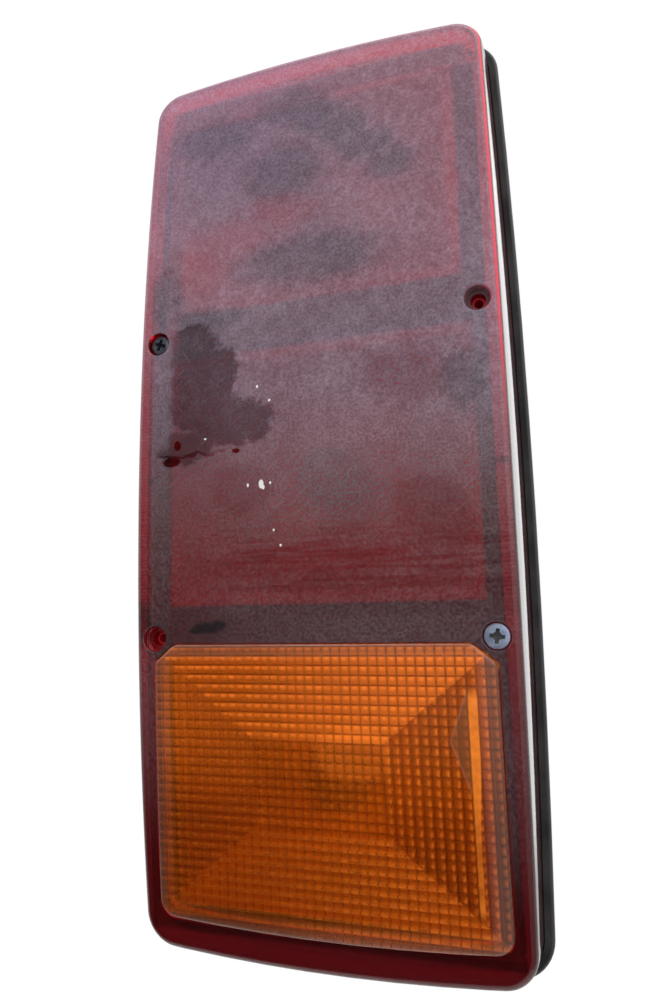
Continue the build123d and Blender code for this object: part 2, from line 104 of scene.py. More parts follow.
# %% Sums of shader sockets
class Value:
    """One output socket of a finish, for use in sums."""

    def __init__(self, finish, socket):
        self.finish = finish
        self.socket = socket

    def math(self, operation, *values):
        inputs = dict(enumerate(values))
        return self.finish.node("ShaderNodeMath", {"operation": operation}, inputs)

    def __add__(self, other):
        return self.math("ADD", self, other)

    def __sub__(self, other):
        return self.math("SUBTRACT", self, other)

    def __rsub__(self, other):
        return self.math("SUBTRACT", other, self)

    def __mul__(self, other):
        return self.math("MULTIPLY", self, other)

    def __truediv__(self, other):
        return self.math("DIVIDE", self, other)

    def __neg__(self):
        return self.math("MULTIPLY", self, -1.0)

    __radd__ = __add__
    __rmul__ = __mul__

    def abs(self):
        return self.math("ABSOLUTE", self)

    def fraction(self):
        return self.math("FRACT", self)

    def sine(self):
        return self.math("SINE", self)

    def root(self):
        return self.math("SQRT", self)

    def most(self, other):
        return self.math("MAXIMUM", self, other)

    def least(self, other):
        return self.math("MINIMUM", self, other)

    def ramp(self, low, high):
        """0 below low, 1 above high, and a smooth rise between; low may be the greater one."""
        return self.finish.node(
            "ShaderNodeMapRange", {"interpolation_type": "SMOOTHSTEP"}, {0: self, 1: low, 2: high}
        )


print("sums with:", *(name for name in vars(Value) if not name.startswith("_")))


# %% Finishes
class Finish:
    """A material, or the world, whose nodes are made one call at a time."""

    def __init__(self, block, coordinates="Object"):
        self.block = block
        self.block.use_nodes = True
        self.tree = self.block.node_tree
        self.tree.nodes.clear()
        self.place = self.node("ShaderNodeTexCoord", out=coordinates)
        self.facing = self.node("ShaderNodeTexCoord", out="Normal")

    def node(self, kind, settings=None, inputs=None, out=0):
        made = self.tree.nodes.new(kind)
        for name, setting in (settings or {}).items():
            setattr(made, name, setting)
        for key, value in (inputs or {}).items():
            if isinstance(value, Value):
                self.tree.links.new(value.socket, made.inputs[key])
            else:
                made.inputs[key].default_value = value
        return Value(self, made.outputs[out])

    def along(self, axis):
        """Distance along X, Y or Z from the lamp's origin, in millimetres."""
        return self.part(self.place, axis) * 1000.0

    def turned_to(self, axis):
        """How far the surface faces along X, Y or Z, from -1 to 1."""
        return self.part(self.facing, axis)

    def noise(self, size, detail=3.0, roughness=0.5, stretch=(1, 1, 1), turn=(0, 0, 0)):
        """Cloudy noise with lumps of about the given size in millimetres."""
        spot = self.place
        if stretch != (1, 1, 1) or turn != (0, 0, 0):
            mapping = {"Vector": spot, "Rotation": turn, "Scale": stretch}
            spot = self.node("ShaderNodeMapping", {"vector_type": "TEXTURE"}, mapping)
        inputs = {"Vector": spot, "Scale": 1000.0 / size, "Detail": detail, "Roughness": roughness}
        return self.node("ShaderNodeTexNoise", {}, inputs)

    def mix(self, share, first, second):
        """A colour between two colours."""
        inputs = {0: share, 6: first, 7: second}
        return self.node("ShaderNodeMix", {"data_type": "RGBA"}, inputs, 2)

    def blend(self, share, first, second):
        """A shader between two shaders."""
        return self.node("ShaderNodeMixShader", {}, {0: share, 1: first, 2: second})

    def oval(self, spot, reach):
        """Squared distance from a spot on the face, which is 1 on the edge of an oval of that reach."""
        (x, z), (wide, high) = spot, reach
        scale = (1 / (wide * mm), 0, 1 / (high * mm))
        shift = (-x / wide, 0, -z / high)
        moved, squared = {"operation": "MULTIPLY_ADD"}, {"operation": "DOT_PRODUCT"}
        offset = self.node("ShaderNodeVectorMath", moved, {0: self.place, 1: scale, 2: shift})
        return self.node("ShaderNodeVectorMath", squared, {0: offset, 1: offset}, "Value")

    def patches(self, places, edge, wobble):
        """1 in any of several ovals and 0 outside them, with a soft or crisp, uneven edge."""
        nearest = self.oval(*places[0])
        for oval in places[1:]:
            nearest = nearest.least(self.oval(*oval))
        return 1 - (nearest + wobble).ramp(1 - edge, 1 + edge)

    def bump(self, height, strength, distance):
        inputs = {"Strength": strength, "Distance": distance * mm, "Height": height}
        return self.node("ShaderNodeBump", {}, inputs)

    def surface(self, **sockets):
        """A Principled shader; underscores in names stand for spaces."""
        inputs = {name.replace("_", " "): value for name, value in sockets.items()}
        return self.node("ShaderNodeBsdfPrincipled", {}, inputs)

    def part(self, vector, axis):
        return self.node("ShaderNodeSeparateXYZ", {}, {0: vector}, axis)

    def done(self, shader, output="ShaderNodeOutputMaterial"):
        end = self.tree.nodes.new(output)
        self.tree.links.new(shader.socket, end.inputs["Surface"])
        print("finish", self.block.name, "with", len(self.tree.nodes), "nodes")
        return self.block


def finish(name):
    return Finish(bpy.data.materials.new(name))


def rgb(red, green, blue):
    return (red, green, blue, 1.0)


print("finishes with:", *(name for name in vars(Finish) if not name.startswith("_")))

# %% [markdown]
# The lamp hangs in a white room that lights it softly from all sides, more from above than from
# below, with a brighter strip behind it on the right that draws its edge. Behind the camera is a
# large grey card, in the fan of directions that the flat lens faces mirror. It gives light, but as
# through a polarising filter its glare is taken off the lenses, which keeps their colour deep.

# %% The floor
floor_level = -0.80
floor_reach = 0.60
floor_plain, floor_white = 0.30, 0.55

floor_mesh = bmesh.new()
bmesh.ops.create_circle(floor_mesh, cap_ends=True, segments=96, radius=floor_reach)
bmesh.ops.translate(floor_mesh, verts=floor_mesh.verts[:], vec=(0, 0, floor_level))
floor_data = bpy.data.meshes.new("studio_floor")
floor_mesh.to_mesh(floor_data)
floor_mesh.free()
floor = bpy.data.objects.new("studio_floor", floor_data)
scene.collection.objects.link(floor)

pale = finish("pale_floor")
across = pale.along("X") * mm
along = pale.along("Y") * mm
distance = (across * across + along * along).root()
seen = pale.node("ShaderNodeLightPath", out="Is Camera Ray")
mirrored = pale.node("ShaderNodeLightPath", out="Is Glossy Ray")
passed = pale.node("ShaderNodeLightPath", out="Is Transmission Ray")
fade = distance.ramp(floor_plain, floor_white) * seen.most(mirrored).most(passed)
paint = pale.surface(Base_Color=rgb(0.8, 0.8, 0.8), Roughness=0.7)
white = pale.node("ShaderNodeEmission", {}, {"Color": rgb(1, 1, 1), "Strength": 1.0})
floor_data.materials.append(pale.done(pale.blend(fade, paint, white)))
print("floor at", floor_level, "m")

# %% The white room
card_left, card_right = (-0.80, -0.68), (0.10, 0.22)
card_foot, card_top = (-0.75, -0.62), (0.84, 0.92)
card_glare, card_light = 0.012, 0.80
strip_side, strip_back = (0.12, 0.30), (0.15, 0.35)
strip_foot, strip_top = (-0.50, -0.25), (0.55, 0.80)
strip_light = 1.6

studio = Finish(bpy.data.worlds.new("studio"), "Generated")
scene.world = studio.block
side, back, up = (studio.part(studio.place, axis) for axis in "XYZ")
seen = studio.node("ShaderNodeLightPath", out="Is Camera Ray")
passed = studio.node("ShaderNodeLightPath", out="Is Transmission Ray")
mirrored = studio.node("ShaderNodeLightPath", out="Is Glossy Ray") * (1 - passed)
front = 1 - back.ramp(-0.15, 0.10)
behind = 0.09 + up.ramp(-0.40, 0.30) * 0.32 + up.ramp(0.30, 0.80) * 0.60
before = 0.40 + up.ramp(-0.50, 0.30) * 0.90 + up.ramp(0.30, 0.90) * 0.70
strip = side.ramp(*strip_side) * back.ramp(*strip_back) * up.ramp(*strip_foot) * (1 - up.ramp(*strip_top))
card = side.ramp(*card_left) * (1 - side.ramp(*card_right))
card = card * up.ramp(*card_foot) * (1 - up.ramp(*card_top))
card_level = card_light + mirrored * (card_glare - card_light)
before = before * (1 - card * (1 - card_level))
room = (behind + strip * strip_light).most(mirrored) * (1 - front) + before * front
strength = room * (1 - seen) + seen
glow = studio.node("ShaderNodeBackground", {}, {"Color": rgb(1, 1, 1), "Strength": strength})
studio.done(glow, "ShaderNodeOutputWorld")

# %% [markdown]
# The red lens and the hollow inside it share the lamp's outline, with bowed sides, bulging ends
# and round corners, and both lenses share the bow of its face. The outline's points could be worked
# out one by one. Here it starts as one face from its four corners, whose edges are divided and bent
# and whose corners are bevelled, so that a few sizes say it all.

# %% Sizes shared by the lenses
lens_low, lens_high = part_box("red_lens")
draft = 1.8
lens_half = lens_high.x / mm - draft
lens_half_height = lens_high.z / mm - draft
rim = -lens_high.y / mm
face = -lens_low.y / mm
lens_wall = 2.8
face_bow = 9.4
bow_radius = (lens_half_height ** 2 + face_bow ** 2) / (2 * face_bow)


def bow_drop(z):
    """How far the bowed face lies behind its middle, at a height z on the lamp."""
    return bow_radius - sqrt(bow_radius ** 2 - z ** 2)


lens_sizes = {"half width": lens_half, "half height": lens_half_height, "rim": rim, "face": face}
print("lens in mm:", {name: round(size, 2) for name, size in lens_sizes.items()})

# %% The lamp's outline
side_barrel, end_bulge = 3.5, 3.5
corner_radius = 9.0
width_cuts, height_cuts = 8, 20
corner_segments, corner_share, smallest_corner = 10, 0.96, 2.0
near = 0.01


def round_corners(bm, places, radius, segments):
    """Bevels the corners of a flat plate that lie at the given places."""
    corners = [v for v in bm.verts if any(abs(v.co.x - x) + abs(v.co.z - z) < near for x, z in places)]
    bmesh.ops.bevel(
        bm, geom=corners, offset=radius, segments=segments, profile=0.5, affect="VERTICES", material=-1
    )


def lamp_plate(bm, grow, height):
    """A flat grid with the lamp's outline, grown all round, at a height in front of the panel."""
    x = lens_half + grow - side_barrel
    z = lens_half_height + grow - end_bulge
    places = ((-x, -z), (x, -z), (x, z), (-x, z))
    bm.faces.new([bm.verts.new((u, -height, w)) for u, w in places])
    for axis, reach, cuts in ((0, x, width_cuts), (2, z, height_cuts)):
        long_edges = [e for e in bm.edges if abs(e.verts[0].co[axis] - e.verts[1].co[axis]) > reach]
        bmesh.ops.subdivide_edges(bm, edges=long_edges, cuts=cuts)
    for vert in bm.verts:
        u = vert.co.x / x
        w = vert.co.z / z
        vert.co.x = u * (x + side_barrel * (1 - w * w))
        vert.co.z = w * (z + end_bulge * (1 - u * u))
    radius = max(corner_radius + grow, smallest_corner) * corner_share
    round_corners(bm, places, radius, corner_segments)
    return bm.faces[:]


print("outline with corners of", corner_radius, "mm")

# %% Rows, walls and pieces
row = 6.0


def cut_rows(bm):
    """Cuts the mesh into level rows, so that the bow can bend it."""
    count = int(lens_half_height / row) + 1
    for step in range(-count, count + 1):
        geometry = bm.verts[:] + bm.edges[:] + bm.faces[:]
        bmesh.ops.bisect_plane(bm, geom=geometry, plane_co=(0, 0, step * row), plane_no=(0, 0, 1))


def raise_plate(bm, plate, height):
    """Lifts a copy of a plate towards the viewer, with walls between, and gives its points."""
    lifted = bmesh.ops.extrude_face_region(bm, geom=plate, use_keep_orig=True)
    front = [item for item in lifted["geom"] if isinstance(item, bmesh.types.BMVert)]
    bmesh.ops.translate(bm, verts=front, vec=(0, -height, 0))
    return front


def finished(name, bm):
    """The mesh as a piece at the origin, with its millimetres made metres."""
    bmesh.ops.scale(bm, verts=bm.verts[:], vec=(mm, mm, mm))
    mesh = bpy.data.meshes.new(name)
    bm.to_mesh(mesh)
    bm.free()
    piece = bpy.data.objects.new(name, mesh)
    scene.collection.objects.link(piece)
    return piece


print("meshes are cut into rows of", row, "mm")

# %% [markdown]
# The red lens is a drafted shell. A block could be carved to it, but a plate with the outline of
# its rim, lifted and made narrower, gives the sloping side walls at once, and its front edge is
# bevelled round. A smaller block of the same kind is the hollow, as the core of a mould would be.

# %% Lens blocks
edge_round, wall_lean = 2.2, 3.0
edge_segments, wall_cuts = 6, 7
bowed_share = 0.85


def soften(bm, level, radius, segments):
    """Bevels the edges that lie on a level and part its flat faces from the walls below."""
    rims = []
    for edge in bm.edges:
        flat = [all(abs(vert.co.y - level) < near for vert in side.verts) for side in edge.link_faces]
        if sorted(flat) == [False, True]:
            rims.append(edge)
    bmesh.ops.bevel(
        bm, geom=rims, offset=radius, segments=segments, profile=0.5, affect="EDGES", material=-1
    )


def lens_block(grow, low, high, edge, lean, power):
    """A closed block with the lamp's outline, bowed in front, whose walls lean in towards the face."""
    bm = bmesh.new()
    slant = draft * (high - low) / (face - rim)
    front = raise_plate(bm, lamp_plate(bm, grow, low), high - low)
    narrower = (1 - slant / (lens_half + grow), 1, 1 - slant / (lens_half_height + grow))
    bmesh.ops.scale(bm, verts=front, vec=narrower)
    if edge:
        soften(bm, -high, edge, edge_segments)
    cut_rows(bm)
    for step in range(1, wall_cuts + 1):
        geometry = bm.verts[:] + bm.edges[:] + bm.faces[:]
        level = -(low + (high - low) * step / (wall_cuts + 2))
        bmesh.ops.bisect_plane(bm, geom=geometry, plane_co=(0, level, 0), plane_no=(0, 1, 0))
    for vert in bm.verts:
        share = (-vert.co.y - low) / (high - low)
        vert.co.y += bow_drop(vert.co.z) * min(1.0, share / bowed_share)
        depth_share = max(0.0, (-vert.co.y - rim) / (face - rim))
        inward = lean * depth_share ** power - slant * share
        vert.co.x *= 1 - inward / lens_half
        vert.co.z *= 1 - inward / lens_half_height
    bmesh.ops.recalc_face_normals(bm, faces=bm.faces[:])
    return bm


lens_outer = finished("red_lens_shell", lens_block(draft, rim, face, edge_round, wall_lean, power=2))
hollow_start = rim - 1.0
hollow_block = lens_block(draft - lens_wall, hollow_start, face - lens_wall, 0, draft, power=1)
hollow = finished("lens_hollow", hollow_block)
print("lens block:", len(lens_outer.data.polygons), "faces, hollow:", len(hollow.data.polygons), "faces")

# %% [markdown]
# Each lens screw sits in a well with a boss behind it and a hole through the boss. All of that is
# round, so profiles are spun about the screw's line. The wells of the two lost screws are seen to
# the bottom, so they also get the ledges and the funnel that the core pin leaves.

# %% The screw wells
screw_x = 61.6
screw_rows = {"upper": 53.9, "lower": -59.8}
merge_reach = 1e-4
wells = [(side * screw_x, z) for z in screw_rows.values() for side in (-1, 1)]
filled_wells, empty_wells = wells[0::3], wells[1:3]


def turned_about(bm, profile, x, z, steps=48):
    """Turns a profile of (radius, height) points about the line through a place on the face."""
    verts = [bm.verts.new((x + radius, -height, z)) for radius, height in profile]
    edges = [bm.edges.new(pair) for pair in zip(verts, verts[1:])]
    bmesh.ops.spin(
        bm, geom=verts + edges, cent=(x, 0, z), axis=(0, 1, 0), angle=2 * pi, steps=steps, use_merge=True
    )
    bmesh.ops.remove_doubles(bm, verts=bm.verts[:], dist=merge_reach)


def all_wells(profile, places):
    """The same turned shape at several wells, its heights counted from the face there."""
    bm = bmesh.new()
    for x, z in places:
        mouth = face - bow_drop(z)
        turned_about(bm, [(radius, mouth + height) for radius, height in profile], x, z)
    bmesh.ops.recalc_face_normals(bm, faces=bm.faces[:])
    return bm


print("wells:", len(filled_wells), "with screws,", len(empty_wells), "empty, at", wells)

# %% Bosses and drills
well_radius, well_depth, well_floor, well_wall = 4.5, 3.8, 2.5, 1.8
well_lip = 0.9
hole_radius, funnel_radius, pin_radius = 2.4, 2.8, 2.0
ledge_radii, ledge_tops, ledge_feet = (4.35, 4.15, 3.95), (-1.2, -2.1, -3.0), (-1.9, -2.8, -well_depth)
boss_radius, boss_back = well_radius + well_wall, -well_depth - well_floor
boss_top, hole_end = -lens_wall / 2, boss_back - lens_wall
pin_overlap = 0.1
boss_profile = [(0, boss_top), (boss_radius, boss_top), (boss_radius, boss_back), (0, boss_back)]
mouth_profile = [
    (0, lens_wall), (well_radius + well_lip, lens_wall), (well_radius + well_lip, well_lip / 3),
    (well_radius + well_lip / 2, -well_lip / 9), (well_radius + well_lip / 6, -well_lip / 2.4),
    (well_radius, -well_lip),
]
hole_profile = [
    (well_radius, -well_depth), (hole_radius, -well_depth), (hole_radius, hole_end), (0, hole_end)
]
ledges = zip(ledge_radii, ledge_tops, ledge_feet)
ledge_profile = [(radius, height) for radius, top, foot in ledges for height in (top, foot)]
funnel_profile = [
    (funnel_radius, -well_depth), (pin_radius, boss_back - pin_overlap), (pin_radius, hole_end),
    (0, hole_end),
]
stepped_profile = mouth_profile + ledge_profile + funnel_profile
bosses = finished("well_bosses", all_wells(boss_profile, wells))
drills = finished("well_drills", all_wells(mouth_profile + hole_profile, filled_wells))
stepped_drills = finished("well_stepped_drills", all_wells(stepped_profile, empty_wells))
print("bosses of", 2 * boss_radius, "mm, with", len(ledge_radii), "ledges in the wells of lost screws")

# %% [markdown]
# The amber pane sits in a window of the red lens. Its outline has cut upper corners beside the
# screws and a foot that bulges with the lamp's lower end. The window is the same outline, grown
# by the gap round the pane, so one function draws both.

# %% The pane's outline
pane_half, pane_top, pane_bottom = 61.5, -61.7, -159.4
pane_cut_x, pane_cut_z = 8.0, 6.3
pane_bulge = end_bulge * (pane_half / lens_half) ** 2
pane_top_corner, pane_foot_corner = 1.6, 6.0
pane_foot_cuts, pane_corner_segments = 6, 6
window_gap = 0.2


def pane_plate(bm, grow, height):
    """One face with the amber pane's outline, grown all round."""
    half = pane_half + grow
    top = pane_top + grow
    low = pane_bottom + pane_bulge - grow
    places = (
        (-half, low), (half, low), (half, top - pane_cut_z), (half - pane_cut_x, top),
        (pane_cut_x - half, top), (-half, top - pane_cut_z),
    )
    plate = bm.faces.new([bm.verts.new((x, -height, z)) for x, z in places])
    base = [edge for edge in plate.edges if max(vert.co.z for vert in edge.verts) < low + near]
    bmesh.ops.subdivide_edges(bm, edges=base, cuts=pane_foot_cuts)
    for vert in bm.verts:
        if vert.co.z < low + near:
            vert.co.z -= pane_bulge * (1 - (vert.co.x / half) ** 2)
    round_corners(bm, places[2:], pane_top_corner + grow / 4, pane_corner_segments)
    round_corners(bm, places[:2], pane_foot_corner + grow / 2, pane_corner_segments)
    return bm.faces[:]


window = bmesh.new()
raise_plate(window, pane_plate(window, window_gap, rim + lens_wall), 2 * (face - rim))
bmesh.ops.recalc_face_normals(window, faces=window.faces[:])
window_block = finished("pane_window", window)
print("window:", len(window_block.data.polygons), "faces, for a pane", 2 * pane_half, "mm wide")

# %% [markdown]
# The red lens is now cut in the order that a machinist would work in: the hollow is taken out, the
# bosses are added, and then the wells and the window are cut through. The holes could be bridged by
# hand, but where round drills meet a bowed face the Boolean modifier finds the edges itself. Smooth
# shading with sharp edges kept, and normals weighted by face, then makes the flat walls look flat.

# %% Cutting the lens
def cut(piece, tool, operation):
    """Joins a piece with a tool, or cuts the tool out of it, and keeps the result as its mesh."""
    change = piece.modifiers.new(tool.name, "BOOLEAN")
    change.operation = operation
    change.solver = "EXACT"
    change.object = tool
    bpy.context.view_layer.update()
    changed = piece.evaluated_get(bpy.context.evaluated_depsgraph_get())
    result = bpy.data.meshes.new_from_object(changed)
    piece.modifiers.clear()
    piece.data = result
    bpy.data.objects.remove(tool)


cut(lens_outer, hollow, "DIFFERENCE")
cut(lens_outer, bosses, "UNION")
for tool in (drills, stepped_drills, window_block):
    cut(lens_outer, tool, "DIFFERENCE")
print("red lens:", len(lens_outer.data.polygons), "faces")

# %% Smooth shading
lens_angle = 40


def shade(piece, angle):
    """Smooth shading, with the edges sharper than an angle kept sharp."""
    piece.data.shade_smooth()
    piece.data.set_sharp_from_angle(angle=radians(angle))
    weighted = piece.modifiers.new("face_weights", "WEIGHTED_NORMAL")
    weighted.keep_sharp = True


shade(lens_outer, lens_angle)
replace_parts(lens_outer, "red_lens")
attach(lens_outer, "root")
sharp_edges = sum(edge.use_edge_sharp for edge in lens_outer.data.edges)
print("red lens shaded smooth, with", sharp_edges, "sharp edges")

# %% [markdown]
# Two lens screws are left: a black pan head at the upper left and a zinc flat head at the lower
# right. A screw is turned, so its outline is spun about its own line, with the thread as rings on
# the shank. The cross recess is cut in with two tapered bars and a cone where they meet.

# %% A screw's outline
shank_root, thread_radius, thread_pitch, point_radius, point_length = 1.6, 2.1, 1.3, 0.5, 2.0
head_chamfer, crown_steps, crown_reach = 0.3, 6, 0.999


def screw_profile(top, tip, head_radius, head_thick, crown):
    """Points of a screw's outline, from its tip over the thread and the head to its top."""
    seat = top - head_thick
    ridge = tip + point_length
    profile = [(0, tip), (point_radius, tip), (shank_root, ridge)]
    while ridge + thread_pitch < seat:
        profile += [(thread_radius, ridge + thread_pitch / 2), (shank_root, ridge + thread_pitch)]
        ridge += thread_pitch
    profile += [(shank_root, seat), (head_radius - head_chamfer, seat), (head_radius, seat + head_chamfer)]
    shoulder = top - crown
    for step in range(crown_steps):
        share = step / crown_steps
        height = shoulder - head_chamfer * (1 - share) ** 3 + crown * (1 - (1 - share) ** 2)
        profile.append((head_radius * (1 - share ** 2 * crown_reach), height))
    return profile + [(0, top)]


print("thread of", 2 * thread_radius, "mm with a pitch of", thread_pitch, "mm")

# %% The cross recess
recess_taper = (0.45, 1, 0.5)
cone_rise, cone_rim, cone_point, cone_sides = 1, 0.2, 0.6, 24


def tapered_bar(bm, x, top, z, length, width, depth, turn):
    """A bar that narrows downwards into a screw head, turned about the screw's line."""
    made = bmesh.ops.create_cube(bm, size=1.0)["verts"]
    bmesh.ops.scale(bm, verts=made, vec=(length, 2 * depth, width))
    deep = [vert for vert in made if vert.co.y > 0]
    bmesh.ops.scale(bm, verts=deep, vec=recess_taper)
    bmesh.ops.rotate(bm, verts=made, cent=(0, 0, 0), matrix=Matrix.Rotation(radians(turn), 3, "Y"))
    bmesh.ops.translate(bm, verts=made, vec=(x, -top, z))


def cut_cross(screw, x, top, z, turn, length, width, depth, centre):
    """Cuts the cross recess: two tapered bars, and a cone where they meet."""
    for quarter in (0, 90):
        bar = bmesh.new()
        tapered_bar(bar, x, top, z, length, width, depth, turn + quarter)
        bmesh.ops.recalc_face_normals(bar, faces=bar.faces[:])
        cut(screw, finished("recess_bar", bar), "DIFFERENCE")
    cone = bmesh.new()
    lid, foot = top + cone_rise, top - depth - cone_point
    turned_about(cone, [(0, lid), (centre, lid), (centre, top - cone_rim), (0, foot)], x, z, cone_sides)
    bmesh.ops.recalc_face_normals(cone, faces=cone.faces[:])
    cut(screw, finished("recess_cone", cone), "DIFFERENCE")


print("recess bars narrow to", recess_taper[0], "of their length and", recess_taper[2], "of their width")

# %% The lens screws
screw_angle = 32


def lens_screw(node, spot, head_radius, head_thick, crown, turn, recess):
    """One screw in place of its solid; recess is the cross's length, width, depth and centre."""
    x, z = spot
    low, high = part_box(node)
    top, tip = -low.y / mm, -high.y / mm
    bm = bmesh.new()
    turned_about(bm, screw_profile(top, tip, head_radius, head_thick, crown), x, z)
    bmesh.ops.recalc_face_normals(bm, faces=bm.faces[:])
    screw = finished(node + "_turned", bm)
    cut_cross(screw, x, top, z, turn, *recess)
    shade(screw, screw_angle)
    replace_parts(screw, node)
    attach(screw, "root")
    print(node, "with", len(screw.data.polygons), "faces")
    return screw


black_spot, zinc_spot = filled_wells
black_radius, black_thick, black_crown, black_turn = 4.0, 2.6, 1.1, 18
zinc_radius, zinc_thick, zinc_crown, zinc_turn = 4.2, 3.1, 0.4, 8
black_recess, zinc_recess = (7.2, 1.9, 1.8, 1.3), (7.2, 1.8, 1.8, 1.6)
black_piece = lens_screw(
    "upper_left_lens_screw", black_spot, black_radius, black_thick, black_crown, black_turn, black_recess,
)
zinc_piece = lens_screw(
    "lower_right_lens_screw", zinc_spot, zinc_radius, zinc_thick, zinc_crown, zinc_turn, zinc_recess,
)

# %% [markdown]
# Each bulb is a thin glass ball on a bayonet base of brass, with a wire coil inside. A ball with a
# Solidify modifier would do for the glass, but its neck and stem are turned shapes as well, so an
# outer and an inner skin are spun from their outlines. The coil is a small circle that is spun
# while it moves along, which is the way to model a spring.

# %% A bulb's glass
glass_radius, glass_wall, glass_gap = 12.4, 0.7, 0.1
neck_radius, ball_start, ball_steps = 6.5, -48, 14


def bulb_glass(front, middle, z):
    """Ball, neck and stem, with an inside and an outside; front is where the base ends."""
    inner_neck = neck_radius - glass_wall
    outside = [(neck_radius, front - 1.0), (neck_radius, front + 3.0), (7.4, front + 6.0)]
    inside = [(inner_neck, front), (inner_neck, front + 3.2), (6.7, front + 6.3)]
    for step in range(ball_steps + 1):
        turn = radians(ball_start + (90 - ball_start) * step / ball_steps)
        for skin, radius in ((outside, glass_radius), (inside, glass_radius - glass_wall)):
            skin.append((radius * cos(turn) if step < ball_steps else 0, middle + radius * sin(turn)))
    stem = [(2.4, front), (1.6, front + 7.0), (0, front + 8.0)]
    glass = bmesh.new()
    turned_about(glass, outside[::-1] + [(0, front - 1.0)], 0, z)
    turned_about(glass, inside[::-1] + stem, 0, z)
    return glass


print("bulb glass:", 2 * glass_radius, "mm across")

# %% A bulb's base
base_radius, base_length, base_bevel, base_groove = 7.5, 15.5, 0.6, 0.4
bayonet_radius, bayonet_reach, bayonet_height = 1.0, 1.0, 6.5


def bulb_base(solder, back, front, z):
    """Bayonet base with its solder dome, a rolled groove and the two pins."""
    groove = base_radius - base_groove
    base = bmesh.new()
    profile = [
        (0, solder), (1.8, solder), (2.6, solder + 0.5), (2.6, back), (base_radius - base_bevel, back),
        (base_radius, back + base_bevel), (base_radius, front - 3.4), (groove, front - 3.0),
        (groove, front - 2.4), (base_radius, front - 2.0), (base_radius, front - 0.4), (7.2, front),
        (0, front),
    ]
    turned_about(base, profile, 0, z)
    pins = Matrix.Translation((0, -(back + bayonet_height), z)) @ Matrix.Rotation(pi / 2, 4, "Y")
    bmesh.ops.create_cone(
        base, cap_ends=True, segments=20, radius1=bayonet_radius, radius2=bayonet_radius,
        depth=2 * (base_radius + bayonet_reach), matrix=pins,
    )
    return base


print("bulb base:", 2 * base_radius, "mm across and", base_length, "mm long")

# %% A bulb's filament
coil_radius, coil_wire, coil_length, coil_turns, coil_steps = 1.0, 0.16, 7.0, 7, 14
post_radius, post_start, post_overlap = 0.3, 6.0, 2.0


def bulb_filament(front, middle, z):
    """Coil between two posts: a ring of wire that is spun while it moves along."""
    wire = bmesh.new()
    ring = Matrix.Translation((-coil_length / 2, -middle, z + coil_radius))
    circle = bmesh.ops.create_circle(wire, cap_ends=False, segments=6, radius=coil_wire, matrix=ring)
    loop = circle["verts"] + wire.edges[:]
    steps = coil_turns * coil_steps
    bmesh.ops.spin(
        wire, geom=loop, cent=(0, -middle, z), axis=(1, 0, 0), dvec=(coil_length / steps, 0, 0),
        angle=2 * pi * coil_turns, steps=steps,
    )
    post = middle - front - post_start
    for side in (-1, 1):
        stand = Matrix.Translation((side * coil_length / 2, -(front + post_start + post / 2), z))
        bmesh.ops.create_cone(
            wire, cap_ends=True, segments=8, radius1=post_radius, radius2=post_radius,
            depth=post + post_overlap, matrix=stand @ Matrix.Rotation(pi / 2, 4, "X"),
        )
    return wire


print("filament:", coil_turns, "turns on", coil_length, "mm")

# %% The bulbs
bulb_length, solder_height = 46.0, 1.0
round_angle, base_angle = 60, 35
bulb_pieces = {"bulb_glass": [], "brass": [], "zinc_steel": []}


def bulb_piece(name, bm, slot, angle):
    """One piece of a bulb, shaded smooth, kept with the others of its material."""
    bmesh.ops.recalc_face_normals(bm, faces=bm.faces[:])
    piece = finished(name, bm)
    shade(piece, angle)
    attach(piece, "root")
    bulb_pieces[slot].append(piece)
    return piece


for node in ("upper_bulb", "middle_bulb", "indicator_bulb"):
    low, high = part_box(node)
    height = (low.z + high.z) / 2 / mm
    solder = -high.y / mm
    base_back = solder + solder_height
    base_front = base_back + base_length
    ball_middle = base_back + bulb_length - glass_radius - glass_gap
    glass = bulb_glass(base_front, ball_middle, height)
    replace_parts(bulb_piece(node + "_glass", glass, "bulb_glass", round_angle), node)
    base = bulb_base(solder, base_back, base_front, height)
    bulb_piece(node + "_base", base, "brass", base_angle)
    filament = bulb_filament(base_front, ball_middle, height)
    bulb_piece(node + "_filament", filament, "zinc_steel", round_angle)
print("bulbs:", sum(len(pieces) for pieces in bulb_pieces.values()), "pieces")

# %% [markdown]
# The amber pane is a raised pad with a rounded edge, and on its back a grid of small pillows that
# spreads the bulb's light. The grid lies on five flat zones: a middle field and four slopes that
# meet on the diagonals. Bump could fake the pillows, but real ones bend the light behind them, so
# the points of one fine grid are pushed back, and a skirt joins the grid to the pad.

# %% The pane's front
pane_proud, skirt_drop = 1.0, 4.6
pane_edge, pane_edge_segments = 1.6, 5
pane = bmesh.new()
raise_plate(pane, pane_plate(pane, 0, face - skirt_drop), skirt_drop + pane_proud)
soften(pane, -(face + pane_proud), pane_edge, pane_edge_segments)
rearmost = max(pane.faces, key=lambda flat: flat.calc_center_median().y)
bmesh.ops.delete(pane, geom=[rearmost], context="FACES_ONLY")
cut_rows(pane)
print("pane's front:", len(pane.faces), "faces")

# %% The zones and the shape of a pillow
optic_half, optic_low, optic_high = 55.5, -149.9, -67.7
field_half, field_low, field_high = 23.0, -123.3, -94.3
pillow_size = 3.2


def slope(x, z):
    """How far the five zones rise at a place: 1 on the middle field, 0 at the border."""
    side = (optic_half - abs(x)) / (optic_half - field_half)
    upper = (optic_high - z) / (optic_high - field_high)
    lower = (z - optic_low) / (field_low - optic_low)
    return max(0.0, min(1.0, side, upper, lower))


def pillow(distance):
    """Height of one pillow across its width, from 0 at the groove to 1 in its middle."""
    across = (distance / pillow_size) % 1.0
    return 4 * across * (1 - across)


